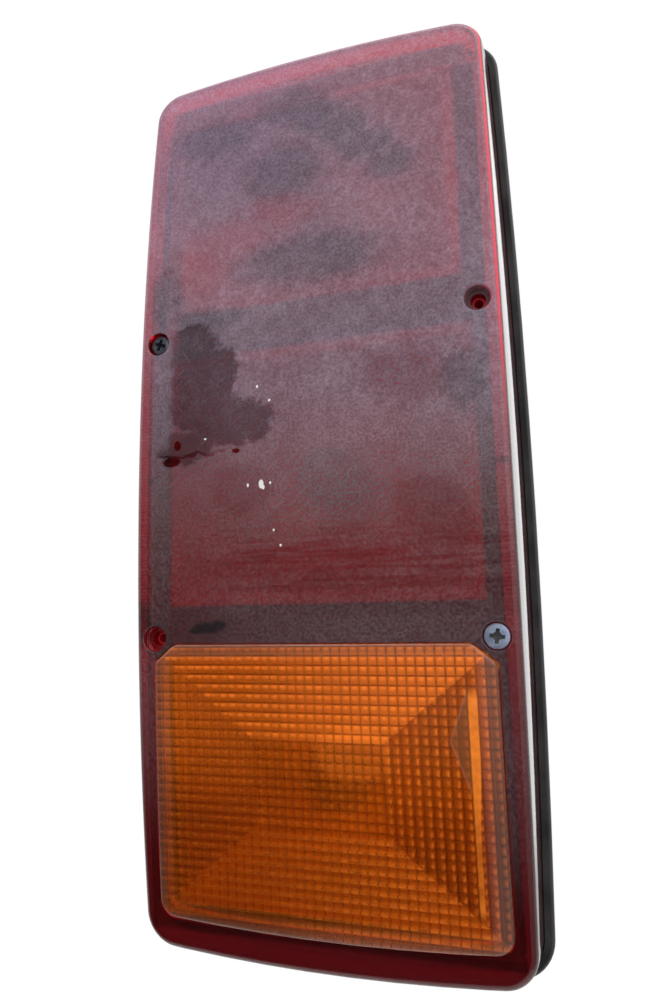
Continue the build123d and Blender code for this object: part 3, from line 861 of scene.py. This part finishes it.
print("optics", 2 * optic_half, "mm wide round a field", 2 * field_half, "mm wide")

# %% The pane's pillows
skirt, pane_thick, optic_depth = 3.0, 3.0, 1.4
pillow_depth, pillow_cuts = 0.36, 6
border_pillow, pillow_growth = 0.2, 4
pillows = bmesh.new()
columns = int(2 * (pane_half - skirt) / pillow_size) + 2
levels = int((pane_top - pane_bottom) / pillow_size) + 2
middle_z = (pane_top + pane_bottom) / 2
grid_size = Matrix.Diagonal((columns * pillow_size, 1, levels * pillow_size, 1))
lay = Matrix.Translation((0, 0, middle_z)) @ grid_size @ Matrix.Rotation(pi / 2, 4, "X")
bmesh.ops.create_grid(
    pillows, x_segments=columns * pillow_cuts, y_segments=levels * pillow_cuts, size=0.5, matrix=lay
)
inner = bmesh.new()
pane_plate(inner, -skirt, 0)
for edge in [edge for edge in inner.edges if edge.is_boundary]:
    start, end = (vert.co for vert in edge.verts)
    outward = Vector((end.z - start.z, 0, start.x - end.x))
    if outward.dot((start + end) / 2 - Vector((0, 0, middle_z))) < 0:
        outward = -outward
    geometry = pillows.verts[:] + pillows.edges[:] + pillows.faces[:]
    bmesh.ops.bisect_plane(pillows, geom=geometry, plane_co=start, plane_no=outward, clear_outer=True)
inner.free()
first_x = -columns * pillow_size / 2
first_z = middle_z - levels * pillow_size / 2
for vert in pillows.verts:
    x, z = vert.co.x, vert.co.z
    back = pane_thick - pane_proud + optic_depth * slope(x, z)
    swell = min(1.0, pillow_growth * slope(x, z) + border_pillow)
    back += swell * pillow_depth * pillow(x - first_x) * pillow(z - first_z)
    vert.co.y = -(face - back)
print("pillows:", columns, "by", levels, "on", len(pillows.faces), "faces")

# %% Closing the pane
pane_angle = 25
rim_edges = [edge for edge in pillows.edges if edge.is_boundary]
walls = bmesh.ops.extrude_edge_only(pillows, edges=rim_edges)
for item in walls["geom"]:
    if isinstance(item, bmesh.types.BMVert):
        item.co.y = -(face - skirt_drop)
pillow_mesh = bpy.data.meshes.new("pillows")
pillows.to_mesh(pillow_mesh)
pillows.free()
pane.from_mesh(pillow_mesh)
bpy.data.meshes.remove(pillow_mesh)
open_edges = [edge for edge in pane.edges if edge.is_boundary]
bmesh.ops.bridge_loops(pane, edges=open_edges)
for vert in pane.verts:
    vert.co.y += bow_drop(vert.co.z)
bmesh.ops.recalc_face_normals(pane, faces=pane.faces[:])
amber_pane = finished("amber_pane", pane)
amber_pane.data.shade_smooth()
amber_pane.data.set_sharp_from_angle(angle=radians(pane_angle))
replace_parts(amber_pane, "amber_lens")
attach(amber_pane, "root")
print("amber pane:", len(amber_pane.data.polygons), "faces")

# %% [markdown]
# The red acrylic is clear and glossy where it has been kept clean, and dull with road dust where
# it has not. The dust lies mostly on the face, thick above and thin below, in clouds, with wiped
# places, scratches and dots. So the finish mixes shaders: a tinted clear plastic with painted shade
# in dark clouds, a painted red glow for the light that comes through the frame, the wells and the
# edge, then dust, specks of paint and soot.

# %% Marks on the red lens, in millimetres on its face
# Each mark is an oval: its middle, then how far it reaches sideways and upwards.
wiped_blots = (
    ((-47.0, 50.0), (12.0, 9.0)), ((-42.0, 39.0), (15.0, 13.0)), ((-43.0, 27.0), (14.5, 11.0)),
    ((-31.0, 19.5), (17.0, 9.5)), ((-50.0, 11.0), (11.0, 6.5)),
)
# The dark clouds are painted shade, where the inside of the lamp lies dark behind the lens.
painted_shade_clouds = (
    ((-7.0, 147.0), (15.0, 7.5)), ((4.0, 140.0), (12.0, 7.5)), ((13.5, 132.5), (12.0, 7.5)),
    ((23.0, 123.0), (11.0, 7.0)), ((32.5, 113.5), (10.0, 6.5)), ((-10.0, 119.0), (16.0, 13.0)),
    ((-40.0, 141.0), (19.0, 10.0)), ((-59.0, 72.0), (7.0, 13.0)), ((-41.0, 61.0), (14.0, 5.0)),
    ((2.0, 80.0), (30.0, 10.0)), ((55.0, 26.0), (7.0, 11.0)), ((-67.0, -54.0), (4.0, 9.0)),
    ((66.8, -3.1), (3.6, 1.3)),
)
# The clean clouds hold less dust, and in the upper half a painted red glow.
clean_glow_clouds = (
    ((-11.0, 102.0), (15.0, 7.0)), ((-46.0, 83.0), (15.0, 13.0)), ((-29.0, 93.0), (15.0, 8.5)),
    ((-4.0, -34.0), (34.0, 7.0)), ((46.0, -22.0), (14.0, 12.0)), ((36.0, 30.0), (16.0, 12.0)),
    ((-27.0, -7.0), (12.0, 9.0)), ((42.0, -14.0), (12.0, 8.0)),
)
paint_specks = (
    ((-18.1, -5.1), (0.9, 1.6)), ((-17.3, -6.3), (0.5, 0.8)), ((-23.3, -5.2), (0.4, 0.7)),
    ((-14.6, -4.9), (0.4, 0.5)), ((-19.5, 31.5), (0.45, 0.6)), ((-14.7, 25.8), (0.5, 0.5)),
    ((-40.5, 13.5), (0.5, 0.35)), ((-13.5, -22.0), (0.35, 0.5)), ((-11.0, -27.5), (0.4, 0.5)),
)
melted_spots = (((-54.5, 5.8), (3.6, 1.9)), ((-52.0, 12.0), (1.4, 1.8)), ((-28.0, 8.0), (1.6, 0.9)))
soot = (((-39.5, -56.0), (5.4, 2.0)), ((-35.8, -55.0), (3.2, 1.6)), ((-44.6, -57.0), (3.0, 1.1)))
print("marks on the red lens:", len(paint_specks), "specks of paint,", len(melted_spots), "melted spots")

# %% Where things lie on the red lens
strip_start, strip_full = 64.3, 64.8
rib_pitch = 1.3
well_reach = (5.2, 5.2)


def red_places(red):
    """Distances, noises and marks on the red lens; the marks are shares from 0 to 1."""
    x, z = red.along("X"), red.along("Z")
    depth = face + red.along("Y") - z * z / (2 * bow_radius)
    mottle = red.noise(4.5, 3, 0.6).ramp(0.3, 0.7)
    wobble = red.noise(9, 3, 0.6) * 1.6 - 0.8
    ragged = wobble + mottle * 0.36 - 0.18
    wiped = red.patches(wiped_blots, 0.30, ragged) * (1 - (-x).ramp(53, 58) * z.ramp(8, 14))
    fold = wobble * 5.0 + 8.0
    crease = 1 - (z - fold).abs().ramp(0.25, 0.9)
    crease = crease * (-x).ramp(21, 50) * (1 - (-x).ramp(58, 62)) * 0.8
    in_wells = red.patches([(spot, well_reach) for spot in wells], 0.06, 0.0) * depth.ramp(0.4, 0.8)
    edge = depth.ramp(0.15, 0.35) * (1 - depth.ramp(0.9, 1.3)) * z.ramp(-30, 60)
    frame_strip = x.abs().ramp(strip_start, strip_full) * (1 - z.abs().ramp(52, 54))
    return SimpleNamespace(
        x=x, z=z, depth=depth, mottle=mottle, wobble=wobble, wiped=wiped, in_wells=in_wells,
        grain=red.noise(1.0, 2, 0.65).ramp(0.3, 0.7),
        on_face=1 - depth.ramp(0.2, 1.4),
        # dull marks clouds of painted shade that hold a little less dust; clean marks less dust and
        # painted glow
        dull=red.patches(painted_shade_clouds, 0.75, wobble),
        clean=red.patches(clean_glow_clouds, 0.75, wobble),
        melted=red.patches(melted_spots, 0.25, wobble * 0.8).most(crease),
        edge=edge * x.ramp(63, 64).most(z.ramp(162, 164) * 0.4),
        ribs=frame_strip * ((z * (2 * pi / rib_pitch)).sine() * 0.5 + 0.5),
    )


print("frame strips from", strip_start, "mm, with ribs every", rib_pitch, "mm")

# %% Levels of dust
dot_spacing = 3.2


def dust_level(x, z):
    """Share of the face under dust: little at the foot, most at the top, more round the pane."""
    level = 0.006 + z.ramp(-140, -70) * 0.082 + z.ramp(-60, 45) * 0.222
    level = level + z.ramp(40, 110) * 0.02 + z.ramp(150, 166) * 0.10
    right_of_pane = x.ramp(59, 62) * z.ramp(-152, -120) * (1 - z.ramp(-100, -80))
    above_pane = z.ramp(-66, -60) * (1 - z.ramp(-54, -51)) * x.ramp(-25, 15)
    return level + right_of_pane * 0.035 + above_pane * 0.024


def washed_share(x, z):
    """Share of the dust that is gone from the left side and from the right edge."""
    left_band = (-x).ramp(54, 57) * (1 - (-x).ramp(62, 64))
    above_pane = z.ramp(-75, -55)
    washed = (-x).ramp(15, 50) * (1 - z.ramp(20, 70)) * above_pane * (0.35 - left_band * 0.20)
    washed = washed + (-x).ramp(62, 65) * (1 - z.ramp(60, 110)) * above_pane * 0.22
    return washed + x.ramp(63, 65) * (1 - z.ramp(-45, 5)) * 0.35


def fine_marks(red):
    """Scratches at two slants, and a dot in some of the cells of an uneven grid."""
    scratch = red.noise(0.45, 1, 0.5, (1, 1, 45), (0, 0.9, 0)).ramp(0.70, 0.76)
    scratch = scratch.most(red.noise(0.5, 1, 0.5, (1, 1, 30), (0, -0.5, 0)).ramp(0.71, 0.77))
    cells = {"Vector": red.place, "Scale": 1000 / dot_spacing}
    centre = red.node("ShaderNodeTexVoronoi", {}, cells)
    cell_colour = Value(red, centre.socket.node.outputs["Color"])
    dots = (1 - centre.ramp(0.03, 0.07)) * red.part(cell_colour, "X").ramp(0.72, 0.74)
    return scratch * 0.35 + dots * 0.8


print("dots in the dust about", dot_spacing, "mm apart")


# %% Dust and glow on the red lens
def red_dust(red, on):
    """Share of dust at each place: its level, less what is gone, with all the marks in it."""
    x, z, depth = on.x, on.z, on.depth
    level = dust_level(x, z)
    clouds = red.noise(38, 2, 0.55).ramp(0.3, 0.7)
    rubbed = z.ramp(-48, -42) * (1 - z.ramp(-30, -14)) * x.ramp(-45, -25)
    streaks = red.noise(1.7, 2, 0.5, (16, 1, 1)).ramp(0.42, 0.62)
    grit = 0.46 - z.ramp(-60, 20) * 0.21
    uneven = (0.90 + clouds * 0.20) * (0.93 + on.mottle * 0.14) * (1 - grit + on.grain * grit * 2)
    cleaned = on.clean * (0.28 - z.ramp(60, 80) * 0.16)
    dust = level * (1 - washed_share(x, z)) * (1 - on.wiped * 0.52) * (1 - cleaned)
    dust = dust * (1 - on.dull * 0.18) * (1 - rubbed * streaks * 0.4) * uneven
    dust = dust * (1 - on.melted * 0.95) + fine_marks(red) * level
    dusty_well = on.in_wells * z.ramp(0, 1) * x.ramp(0, 1)
    dusty_well = dusty_well * (1 - depth.ramp(3.9, 4.3)) * (0.40 + on.grain * 0.2)
    on_walls = (1 - on.on_face) * (1 - on.in_wells) * on.mottle * 0.025
    return dust * on.on_face * (1 - on.edge * 0.8) + on_walls + dusty_well


def painted_red_glow(on):
    """Share of painted red glow for light through the lens: frame strips, bands, clouds, wells, edge."""
    x, z, on_face = on.x, on.z, on.on_face
    bright = 1 - on.dull * 0.6
    strips = x.abs().ramp(strip_start, strip_full).most(z.ramp(157.3, 157.8)).most(z.ramp(-160, -162))
    lit = strips * on_face * (0.09 + z.ramp(-120, 30) * (0.42 - x.ramp(-10, 10) * 0.08))
    lit = lit * (1 - on.ribs * 0.4) * bright
    left_band = (-x).ramp(52, 53.5) * (1 - (-x).ramp(57.5, 58.5)) * z.ramp(45, 60)
    lit = lit.most(z.ramp(146, 148).most(left_band) * on_face * bright * 0.18)
    lit = lit.most(on.clean * z.ramp(60, 80) * on_face * 0.12)
    return lit.most(on.in_wells * (0.32 - z.ramp(0, 1) * 0.16)).most(on.edge * 0.85)


print("dust and glow lie on a face", round(2 * lens_half_height), "mm tall")

# %% Colours of the red lens
# A deep cloud of painted shade at the upper left.
painted_shade_cloud = (((-36.0, 126.0), (30.0, 26.0)),)


def clear_red(red, on):
    """Colour of the plastic, deeper as painted shade in dark clouds, and where wiped, ribbed or melted."""
    shaded = (on.dull * 0.9).most(red.patches(painted_shade_cloud, 0.8, on.wobble) * 0.5)
    shaded = shaded.most(on.wiped * 0.75).most(on.ribs * 0.35).most(on.melted * 0.5)
    clear = red.mix(on.z.ramp(10, 110), rgb(0.53, 0.005, 0.010), rgb(0.78, 0.007, 0.014))
    return red.mix(shaded, clear, rgb(0.16, 0.002, 0.008))


def dust_grey(red, on):
    """Colour of the dust: mottled grey, cooler at the upper left, darker in the wells as painted shade."""
    grey = red.mix(on.mottle, rgb(0.495, 0.412, 0.520), rgb(0.570, 0.476, 0.600))
    grey = red.mix(on.z.ramp(-30, 40), rgb(0.520, 0.425, 0.465), grey)
    cool = on.z.ramp(60, 140) * (-on.x).ramp(-40, 30)
    grey = red.mix(cool, grey, rgb(0.520, 0.440, 0.605))
    return red.mix(on.in_wells, grey, rgb(0.17, 0.140, 0.165))


print("deep red cloud at", painted_shade_cloud[0][0], "mm")


# %% Red acrylic
def red_acrylic():
    """Clear plastic, then painted red glow, dust, paint and soot over it, each where it lies."""
    red = finish("red_acrylic")
    on = red_places(red)
    inner = on.depth.ramp(1.4, 2.2) * (1 - on.x.abs().ramp(62, 64)) * (1 - on.z.abs().ramp(158, 160))
    plastic = red.surface(
        Base_Color=clear_red(red, on), Roughness=inner * 0.30 + 0.06, IOR=1.49, Transmission_Weight=0.98
    )
    # Painted glow, brightest as a painted highlight along the rounded edge.
    painted_glow_colour = red.mix(on.edge, rgb(0.52, 0.012, 0.024), rgb(0.95, 0.040, 0.085))
    painted_glow_shader = red.surface(Base_Color=painted_glow_colour, Roughness=0.2)
    film = red.surface(Base_Color=dust_grey(red, on), Roughness=0.75, Specular_IOR_Level=0.25)
    paint = red.surface(Base_Color=rgb(0.8, 0.8, 0.78), Roughness=0.6)
    black = red.surface(Base_Color=rgb(0.012, 0.010, 0.012), Roughness=0.8, Specular_IOR_Level=0.05)
    layers = red.blend(painted_red_glow(on), plastic, painted_glow_shader)
    layers = red.blend(red_dust(red, on), layers, film)
    specks = red.patches(paint_specks, 0.3, on.wobble * 0.6) * on.on_face
    layers = red.blend(specks, layers, paint)
    smudge = red.patches(soot, 0.85, on.wobble) * on.on_face * 0.8
    return red.done(red.blend(smudge, layers, black))


lens_outer.data.materials.clear()
lens_outer.data.materials.append(red_acrylic())

# %% [markdown]
# The amber acrylic is almost clean, and its look comes from the pillows behind it. The five zones
# turn them different ways, so a painted highlight lies on a different flank in each zone, and
# painted shade keeps the grooves between them dark. Clear plastic alone looks empty with the bulb
# off, so the back is a little milky and the face gets painted amber light, more at the top. The rim
# is frosted, with a painted bright facet and a wedge of painted shade.

# %% Zones and pillows of the amber pane
def amber_places(amber):
    """Distances, noises and zones of the amber pane; the zones are shares from 0 to 1."""
    x, z = amber.along("X"), amber.along("Z")
    depth = face + pane_proud + amber.along("Y") - z * z / (2 * bow_radius)
    side = (optic_half - x.abs()) / (optic_half - field_half)
    ends = ((optic_high - z) / (optic_high - field_high)).least((z - optic_low) / (field_low - optic_low))
    off_field = 1 - side.least(ends).ramp(0.98, 1.02)
    on_sides = (ends - side).ramp(-0.02, 0.02) * off_field
    on_top = (off_field - on_sides) * z.ramp(-109, -108)
    return SimpleNamespace(
        x=x, z=z, depth=depth, off_field=off_field, on_sides=on_sides, on_top=on_top,
        on_foot=off_field - on_sides - on_top,
        on_right=on_sides * x.ramp(-1, 1),
        on_face=1 - depth.ramp(0.3, 1.2),
        on_back=depth.ramp(1.5, 2.5),
        mottle=amber.noise(5, 3, 0.6).ramp(0.3, 0.7),
        uneven=amber.noise(3.6, 2, 0.6).ramp(0.28, 0.72),
        rightward=x.ramp(-40, 45),
    )


def pillow_light(on):
    """Painted shade in the grooves round each pillow, and a painted highlight on the flank its zone
    lights.
    """
    across = ((on.x - first_x) / pillow_size).fraction()
    upward = ((on.z - first_z) / pillow_size).fraction()
    off_column = (across - 0.5).abs() * 2
    off_row = (upward - 0.5).abs() * 2
    columns_shown = off_column.ramp(0.66, 0.98) * (1 - on.on_top * (1 - on.rightward) * 0.5)
    grooves = columns_shown.most(off_row.ramp(0.66, 0.98)) * (0.6 + on.uneven * 0.4)
    crest = upward.ramp(0.30, 0.80) * (1 - upward.ramp(0.84, 0.97))
    crest = crest * (1 - off_column.ramp(0.1, 0.9) * (0.2 + on.rightward * 0.6))
    flank = across.ramp(0.35, 0.80) * (1 - across.ramp(0.84, 0.97))
    flank = flank * (1 - off_row.ramp(0.1, 0.9) * 0.75)
    foot = (1 - upward.ramp(0.10, 0.75)) * on.on_foot * (0.25 + on.rightward * 0.5)
    painted_highlight = crest * (1 - on.on_right - on.on_foot) * (0.35 + on.on_top * 0.75)
    painted_highlight = painted_highlight + flank * on.on_right * 0.9 + foot
    return grooves, painted_highlight * (0.35 + on.uneven * 0.65)


print("pillows of", pillow_size, "mm in five zones")

# %% The amber pane's plastic
# Clouds of painted shadow and of painted light on the amber.
shadow_cloud = (((-9.0, -114.0), (15.0, 11.0)),)
painted_light_cloud = (((13.0, -98.0), (13.0, 9.0)),)


def milk_and_painted_light(on, painted_highlight):
    """Share of milk on the back, with painted light by zone and on the highlights, more along the border.
    """
    share = 0.10 - on.on_foot * (1 - on.rightward) * 0.05 + on.on_foot * on.rightward * 0.10
    share = share + on.on_top * (0.12 + on.rightward * 0.17) + on.on_right * 0.08
    border = on.x.abs().ramp(46, 54) * (0.36 - on.rightward * 0.16)
    border = border.most(on.z.ramp(-70, -66) * 0.20).most((1 - on.z.ramp(-151, -145)) * 0.12)
    return (share + painted_highlight * 0.40 + (1 - on.off_field) * 0.20).most(border) * on.on_back


def painted_amber_light(on, painted_highlight, spot):
    """Share of painted amber light on the face, by zone, more on the highlights and in one bright spot."""
    share = 0.05 - on.on_foot * 0.05 + on.on_foot * (0.04 + on.rightward * 0.10)
    share = share + on.on_top * (0.12 + on.rightward * 0.40) + on.on_sides * on.z.ramp(-122, -85) * 0.14
    return (share + spot * 0.28 + painted_highlight * 0.6) * on.on_face


def amber_body(amber, on):
    """Clear amber, painted lighter at the top and with painted shade, its milky back, and painted light.
    """
    grooves, painted_highlight = pillow_light(on)
    shadow = amber.patches(shadow_cloud, 0.7, on.uneven * 0.6 - 0.3)
    shadow = shadow.most(on.on_sides * (1 - on.z.ramp(-125, -102))) * 0.34
    spot = amber.patches(painted_light_cloud, 0.6, on.uneven * 0.6 - 0.3)
    # Painted light: the amber is lighter towards the top.
    painted_top_light = on.z.ramp(-150, -65)
    clear = amber.mix(painted_top_light, rgb(0.88, 0.270, 0.002), rgb(0.98, 0.360, 0.004))
    deep = amber.mix(painted_top_light, rgb(0.26, 0.040, 0.001), rgb(0.36, 0.070, 0.001))
    colour = amber.mix(grooves * on.on_back, amber.mix(shadow, clear, deep), deep)
    plastic = amber.surface(
        Base_Color=colour, Roughness=on.on_back * 0.08 + 0.04, IOR=1.49, Transmission_Weight=1.0
    )
    # The milk is darker in the grooves: painted shade.
    milk_colour = amber.mix(grooves, rgb(1.0, 0.52, 0.012), rgb(0.38, 0.11, 0.003))
    milky = amber.surface(Base_Color=milk_colour, Roughness=0.4)
    # Painted amber light, laid on where the zones should look lit.
    glow = amber.surface(Base_Color=rgb(0.99, 0.198, 0.002), Roughness=0.35)
    painted_lift = painted_amber_light(on, painted_highlight, spot) * (1 - grooves * 0.8) * (1 - shadow * 0.6)
    return amber.blend(painted_lift, amber.blend(milk_and_painted_light(on, painted_highlight), plastic, milky), glow)


print("clouds in the amber:", len(shadow_cloud), "dark,", len(painted_light_cloud), "bright")

# %% The amber pane's rim
facet_start, facet_end = (51.1, 51.7), (52.8, 53.4)


def amber_rim(amber, on, foot_z):
    """Shader of the rim with a painted bright facet and a wedge of painted shade, and its share of each
    place.
    """
    x, z = on.x, on.z
    outside = x.abs().ramp(53.5, 56.5).most(z.ramp(-67.5, -65.0)).most(1 - foot_z.ramp(-154.5, -151.5))
    outmost = x.abs().ramp(57.4, 58.8).most(z.ramp(-65.2, -64.2)).most(1 - foot_z.ramp(-157.5, -156.0))
    upper_part = z.ramp(-125, -95)
    # Painted highlight: a bright facet where a reflector wall catches light.
    facet = x.ramp(*facet_start) * (1 - (x - upper_part * 1.3).ramp(*facet_end))
    facet = facet * z.ramp(-148, -143) * (1 - z.ramp(-80, -75))
    facet = facet * (0.27 + on.mottle * 0.28 + upper_part * 0.38)
    # Painted shade: a dark wedge beside the facet.
    wedge = ((51.2 - x) / 6.6 + (z + 92.5).abs() / 17.5).ramp(1.0, 0.8) * (1 - x.ramp(51.0, 51.4))
    colour = amber.mix(z.ramp(-152, -80), rgb(0.62, 0.10, 0.012), rgb(0.62, 0.26, 0.17))
    colour = amber.mix(x.ramp(50, 58), colour, rgb(0.45, 0.20, 0.15))
    colour = amber.mix(outmost, colour, rgb(0.13, 0.045, 0.028))
    colour = amber.mix(facet.ramp(0.0, 0.1), colour, rgb(0.98, 0.24, 0.002))
    colour = amber.mix(wedge, colour, rgb(0.17, 0.050, 0.001))
    # The rim's share: frosted, with the painted facet and wedge.
    frosted_and_painted = (outside * (0.08 + on.mottle * 0.06)).most(outmost * 0.4)
    frosted_and_painted = frosted_and_painted.most(facet).most(wedge * 0.62) * on.on_face
    return amber.surface(Base_Color=colour, Roughness=0.5), frosted_and_painted


print("bright facet from", facet_start[0], "to", facet_end[1], "mm")


# %% Amber acrylic
def amber_dust_and_highlight(amber, on, foot_z):
    """Share of dust as a thin film, and of a painted highlight where the pane's rounded edge meets the red
    lens.
    """
    grain = amber.noise(1.1, 2, 0.6).ramp(0.3, 0.7)
    # A painted highlight along the foot and the top of the rounded edge.
    line = (1 - foot_z.ramp(-158.6, -157.8)) * 0.35 + on.z.ramp(-64.0, -63.0) * 0.2
    line = line * on.depth.ramp(0.15, 0.35) * (1 - on.depth.ramp(0.6, 0.9)) * (0.4 + on.mottle * 0.6)
    film = on.z.ramp(-110, -75) * on.rightward * 0.015 + on.mottle * 0.002 + grain * 0.002
    return ((film + on.x.ramp(52.5, 58) * 0.04) * on.on_face).most(line)


def amber_acrylic():
    """The pane's plastic, then its rim, then the dust and a painted highlight."""
    amber = finish("amber_acrylic")
    on = amber_places(amber)
    foot_z = on.z - on.x * on.x * (pane_bulge / pane_half ** 2)
    rim_shader, frosted_and_painted = amber_rim(amber, on, foot_z)
    rimmed = amber.blend(frosted_and_painted, amber_body(amber, on), rim_shader)
    # One pale shader for the dust and for the painted highlight.
    film = amber.surface(Base_Color=rgb(0.62, 0.47, 0.45), Roughness=0.7)
    return amber.done(amber.blend(amber_dust_and_highlight(amber, on, foot_z), rimmed, film))


amber_pane.data.materials.clear()
amber_pane.data.materials.append(amber_acrylic())

# %% [markdown]
# Apart from the screws and bulbs, the other pieces keep their solids. Each gets the finish of its
# own material: moulded black plastic, soft rubber, plated steel, bare brass, brown board and the
# mirror of the reflectors. One even colour would look like paint, so each finish varies in clouds,
# and on most of them grain, scuffs or dirt break up the gloss.

# %% Moulded plastic and rubber
red_light_deepest, red_light_full = 26, 24


def moulded(name, dark, pale, rough_low, rough_high, grain_size, dusty):
    """Moulded plastic or rubber, paler in clouds, with dust that lies thicker where it faces up.

    Under the two empty wells, red light is painted into the holes, for what the red lens bosses let
    through.
    """
    made = finish(name)
    cloud = made.noise(14, 4, 0.6).ramp(0.3, 0.7)
    grain = made.noise(grain_size, 2, 0.5)
    facing_up = 0.25 + made.turned_to("Z").ramp(0.1, 0.9) * 0.75
    dust = facing_up * (0.4 + made.noise(6, 4, 0.6) * 0.8) * dusty
    colour = made.mix(dust, made.mix(cloud, rgb(*dark), rgb(*pale)), rgb(0.30, 0.275, 0.265))
    # Painted red light in the holes under the empty wells.
    holes = made.patches([(spot, (funnel_radius, funnel_radius)) for spot in empty_wells], 0.1, 0.0)
    painted_red_light = holes * (-made.along("Y")).ramp(face - red_light_deepest, face - red_light_full)
    colour = made.mix(painted_red_light, colour, rgb(0.60, 0.020, 0.035))
    rough = cloud * (rough_high - rough_low) + dust * 0.5 + rough_low
    grained = made.bump(grain, 0.25, 0.08)
    return made.done(made.surface(Base_Color=colour, Roughness=rough, Normal=grained))


finishes = {
    "black_plastic": moulded(
        "black_plastic", (0.014, 0.014, 0.016), (0.034, 0.032, 0.035),
        rough_low=0.32, rough_high=0.52, grain_size=0.8, dusty=0.07,
    ),
    "rubber": moulded(
        "rubber", (0.014, 0.014, 0.014), (0.03, 0.029, 0.028),
        rough_low=0.6, rough_high=0.8, grain_size=1.2, dusty=0.3,
    ),
    "phenolic": moulded(
        "phenolic", (0.11, 0.05, 0.02), (0.2, 0.10, 0.045),
        rough_low=0.4, rough_high=0.6, grain_size=0.9, dusty=0.25,
    ),
}


# %% Metal, silver and glass
def metal(name, dull, bright, rough_low, rough_high, size):
    """Bare or plated metal, brighter and rougher in clouds, with fine scuffs."""
    made = finish(name)
    cloud = made.noise(size, 4, 0.6).ramp(0.3, 0.7)
    scuff = made.noise(0.6, 2, 0.5, (1, 1, 8))
    colour = made.mix(cloud, rgb(*dull), rgb(*bright))
    rough = cloud * (rough_high - rough_low) + rough_low
    scuffed = made.bump(scuff, 0.08, 0.05)
    return made.done(made.surface(Base_Color=colour, Metallic=1.0, Roughness=rough, Normal=scuffed))


def silvered(name, mirror, rough):
    """The satin silver of a reflector tray, which scatters as well as mirrors."""
    made = finish(name)
    cloud = made.noise(22, 4, 0.6).ramp(0.3, 0.7)
    peel = made.noise(1.4, 2, 0.5)
    colour = made.mix(cloud, rgb(0.86, 0.86, 0.86), rgb(0.93, 0.93, 0.93))
    rough = cloud * 0.12 + rough
    peeled = made.bump(peel, 0.1, 0.1)
    return made.done(made.surface(Base_Color=colour, Metallic=mirror, Roughness=rough, Normal=peeled))


def clear_glass(name):
    """Thin clear glass with a faint smoky bloom."""
    made = finish(name)
    bloom = made.noise(8, 4, 0.6).ramp(0.4, 0.8)
    colour = made.mix(bloom, rgb(0.99, 0.99, 0.99), rgb(0.86, 0.84, 0.80))
    return made.done(made.surface(Base_Color=colour, Roughness=0.05, IOR=1.47, Transmission_Weight=0.7))


finishes["zinc_steel"] = metal(
    "zinc_steel", (0.50, 0.56, 0.68), (0.72, 0.77, 0.88), rough_low=0.28, rough_high=0.48, size=4
)
finishes["metallised"] = silvered("metallised", mirror=0.35, rough=0.50)
finishes["brass"] = metal(
    "brass", (0.42, 0.27, 0.09), (0.62, 0.44, 0.17), rough_low=0.25, rough_high=0.45, size=5
)
finishes["bulb_glass"] = clear_glass("bulb_glass")


# %% Screw heads
def screw_head(name, node, spot, head_radius, crown, dull, bright, grime, rough):
    """Plated steel, worn bright on the head's rim, with dirt packed into the cross."""
    made = finish(name)
    x, z = spot
    across, upward = made.along("X") - x, made.along("Z") - z
    round_share = (across * across + upward * upward) / head_radius ** 2
    below = made.along("Y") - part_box(node)[0].y / mm - round_share * crown
    dirt = below.ramp(0.10, 0.40) * (1 - round_share.ramp(0.60, 0.75))
    cloud = made.noise(2.2, 4, 0.6).ramp(0.3, 0.7)
    nicks = made.noise(0.9, 3, 0.6)
    wear = round_share.ramp(0.55, 0.95) * nicks.ramp(0.45, 0.65)
    colour = made.mix(cloud, rgb(*dull), rgb(*bright))
    colour = made.mix(wear * 0.5, colour, rgb(*(min(0.9, 1.35 * c) for c in bright)))
    colour = made.mix(dirt * 0.92, colour, rgb(*grime))
    rough = cloud * 0.15 + dirt * 0.3 + rough
    nicked = made.bump(nicks, 0.25, 0.12)
    bare = (1 - dirt) * 0.65
    return made.done(made.surface(Base_Color=colour, Metallic=bare, Roughness=rough, Normal=nicked))


black_screw = screw_head(
    "black_screw", "upper_left_lens_screw", black_spot, black_radius, black_crown,
    (0.090, 0.098, 0.122), (0.165, 0.175, 0.210), (0.006, 0.006, 0.007), 0.32,
)
zinc_screw = screw_head(
    "zinc_screw", "lower_right_lens_screw", zinc_spot, zinc_radius, zinc_crown,
    (0.30, 0.37, 0.52), (0.48, 0.56, 0.74), (0.075, 0.062, 0.052), 0.38,
)

# %% Each piece gets its finish
for part in frame["record"]["subparts"]:
    node = frame["nodes"][part["node"]]
    if part["material_slot"] in finishes and not node.hide_render:
        node.data.materials.clear()
        node.data.materials.append(finishes[part["material_slot"]])
bright_silver = silvered("metallised_bright", mirror=0.6, rough=0.32)
frame["nodes"]["indicator_reflector"].data.materials[0] = bright_silver
for slot, pieces in bulb_pieces.items():
    for piece in pieces:
        piece.data.materials.clear()
        piece.data.materials.append(finishes[slot])
for piece, steel in ((black_piece, black_screw), (zinc_piece, zinc_screw)):
    piece.data.materials.clear()
    piece.data.materials.append(steel)
print("plain finishes:", *finishes)

# %% [markdown]
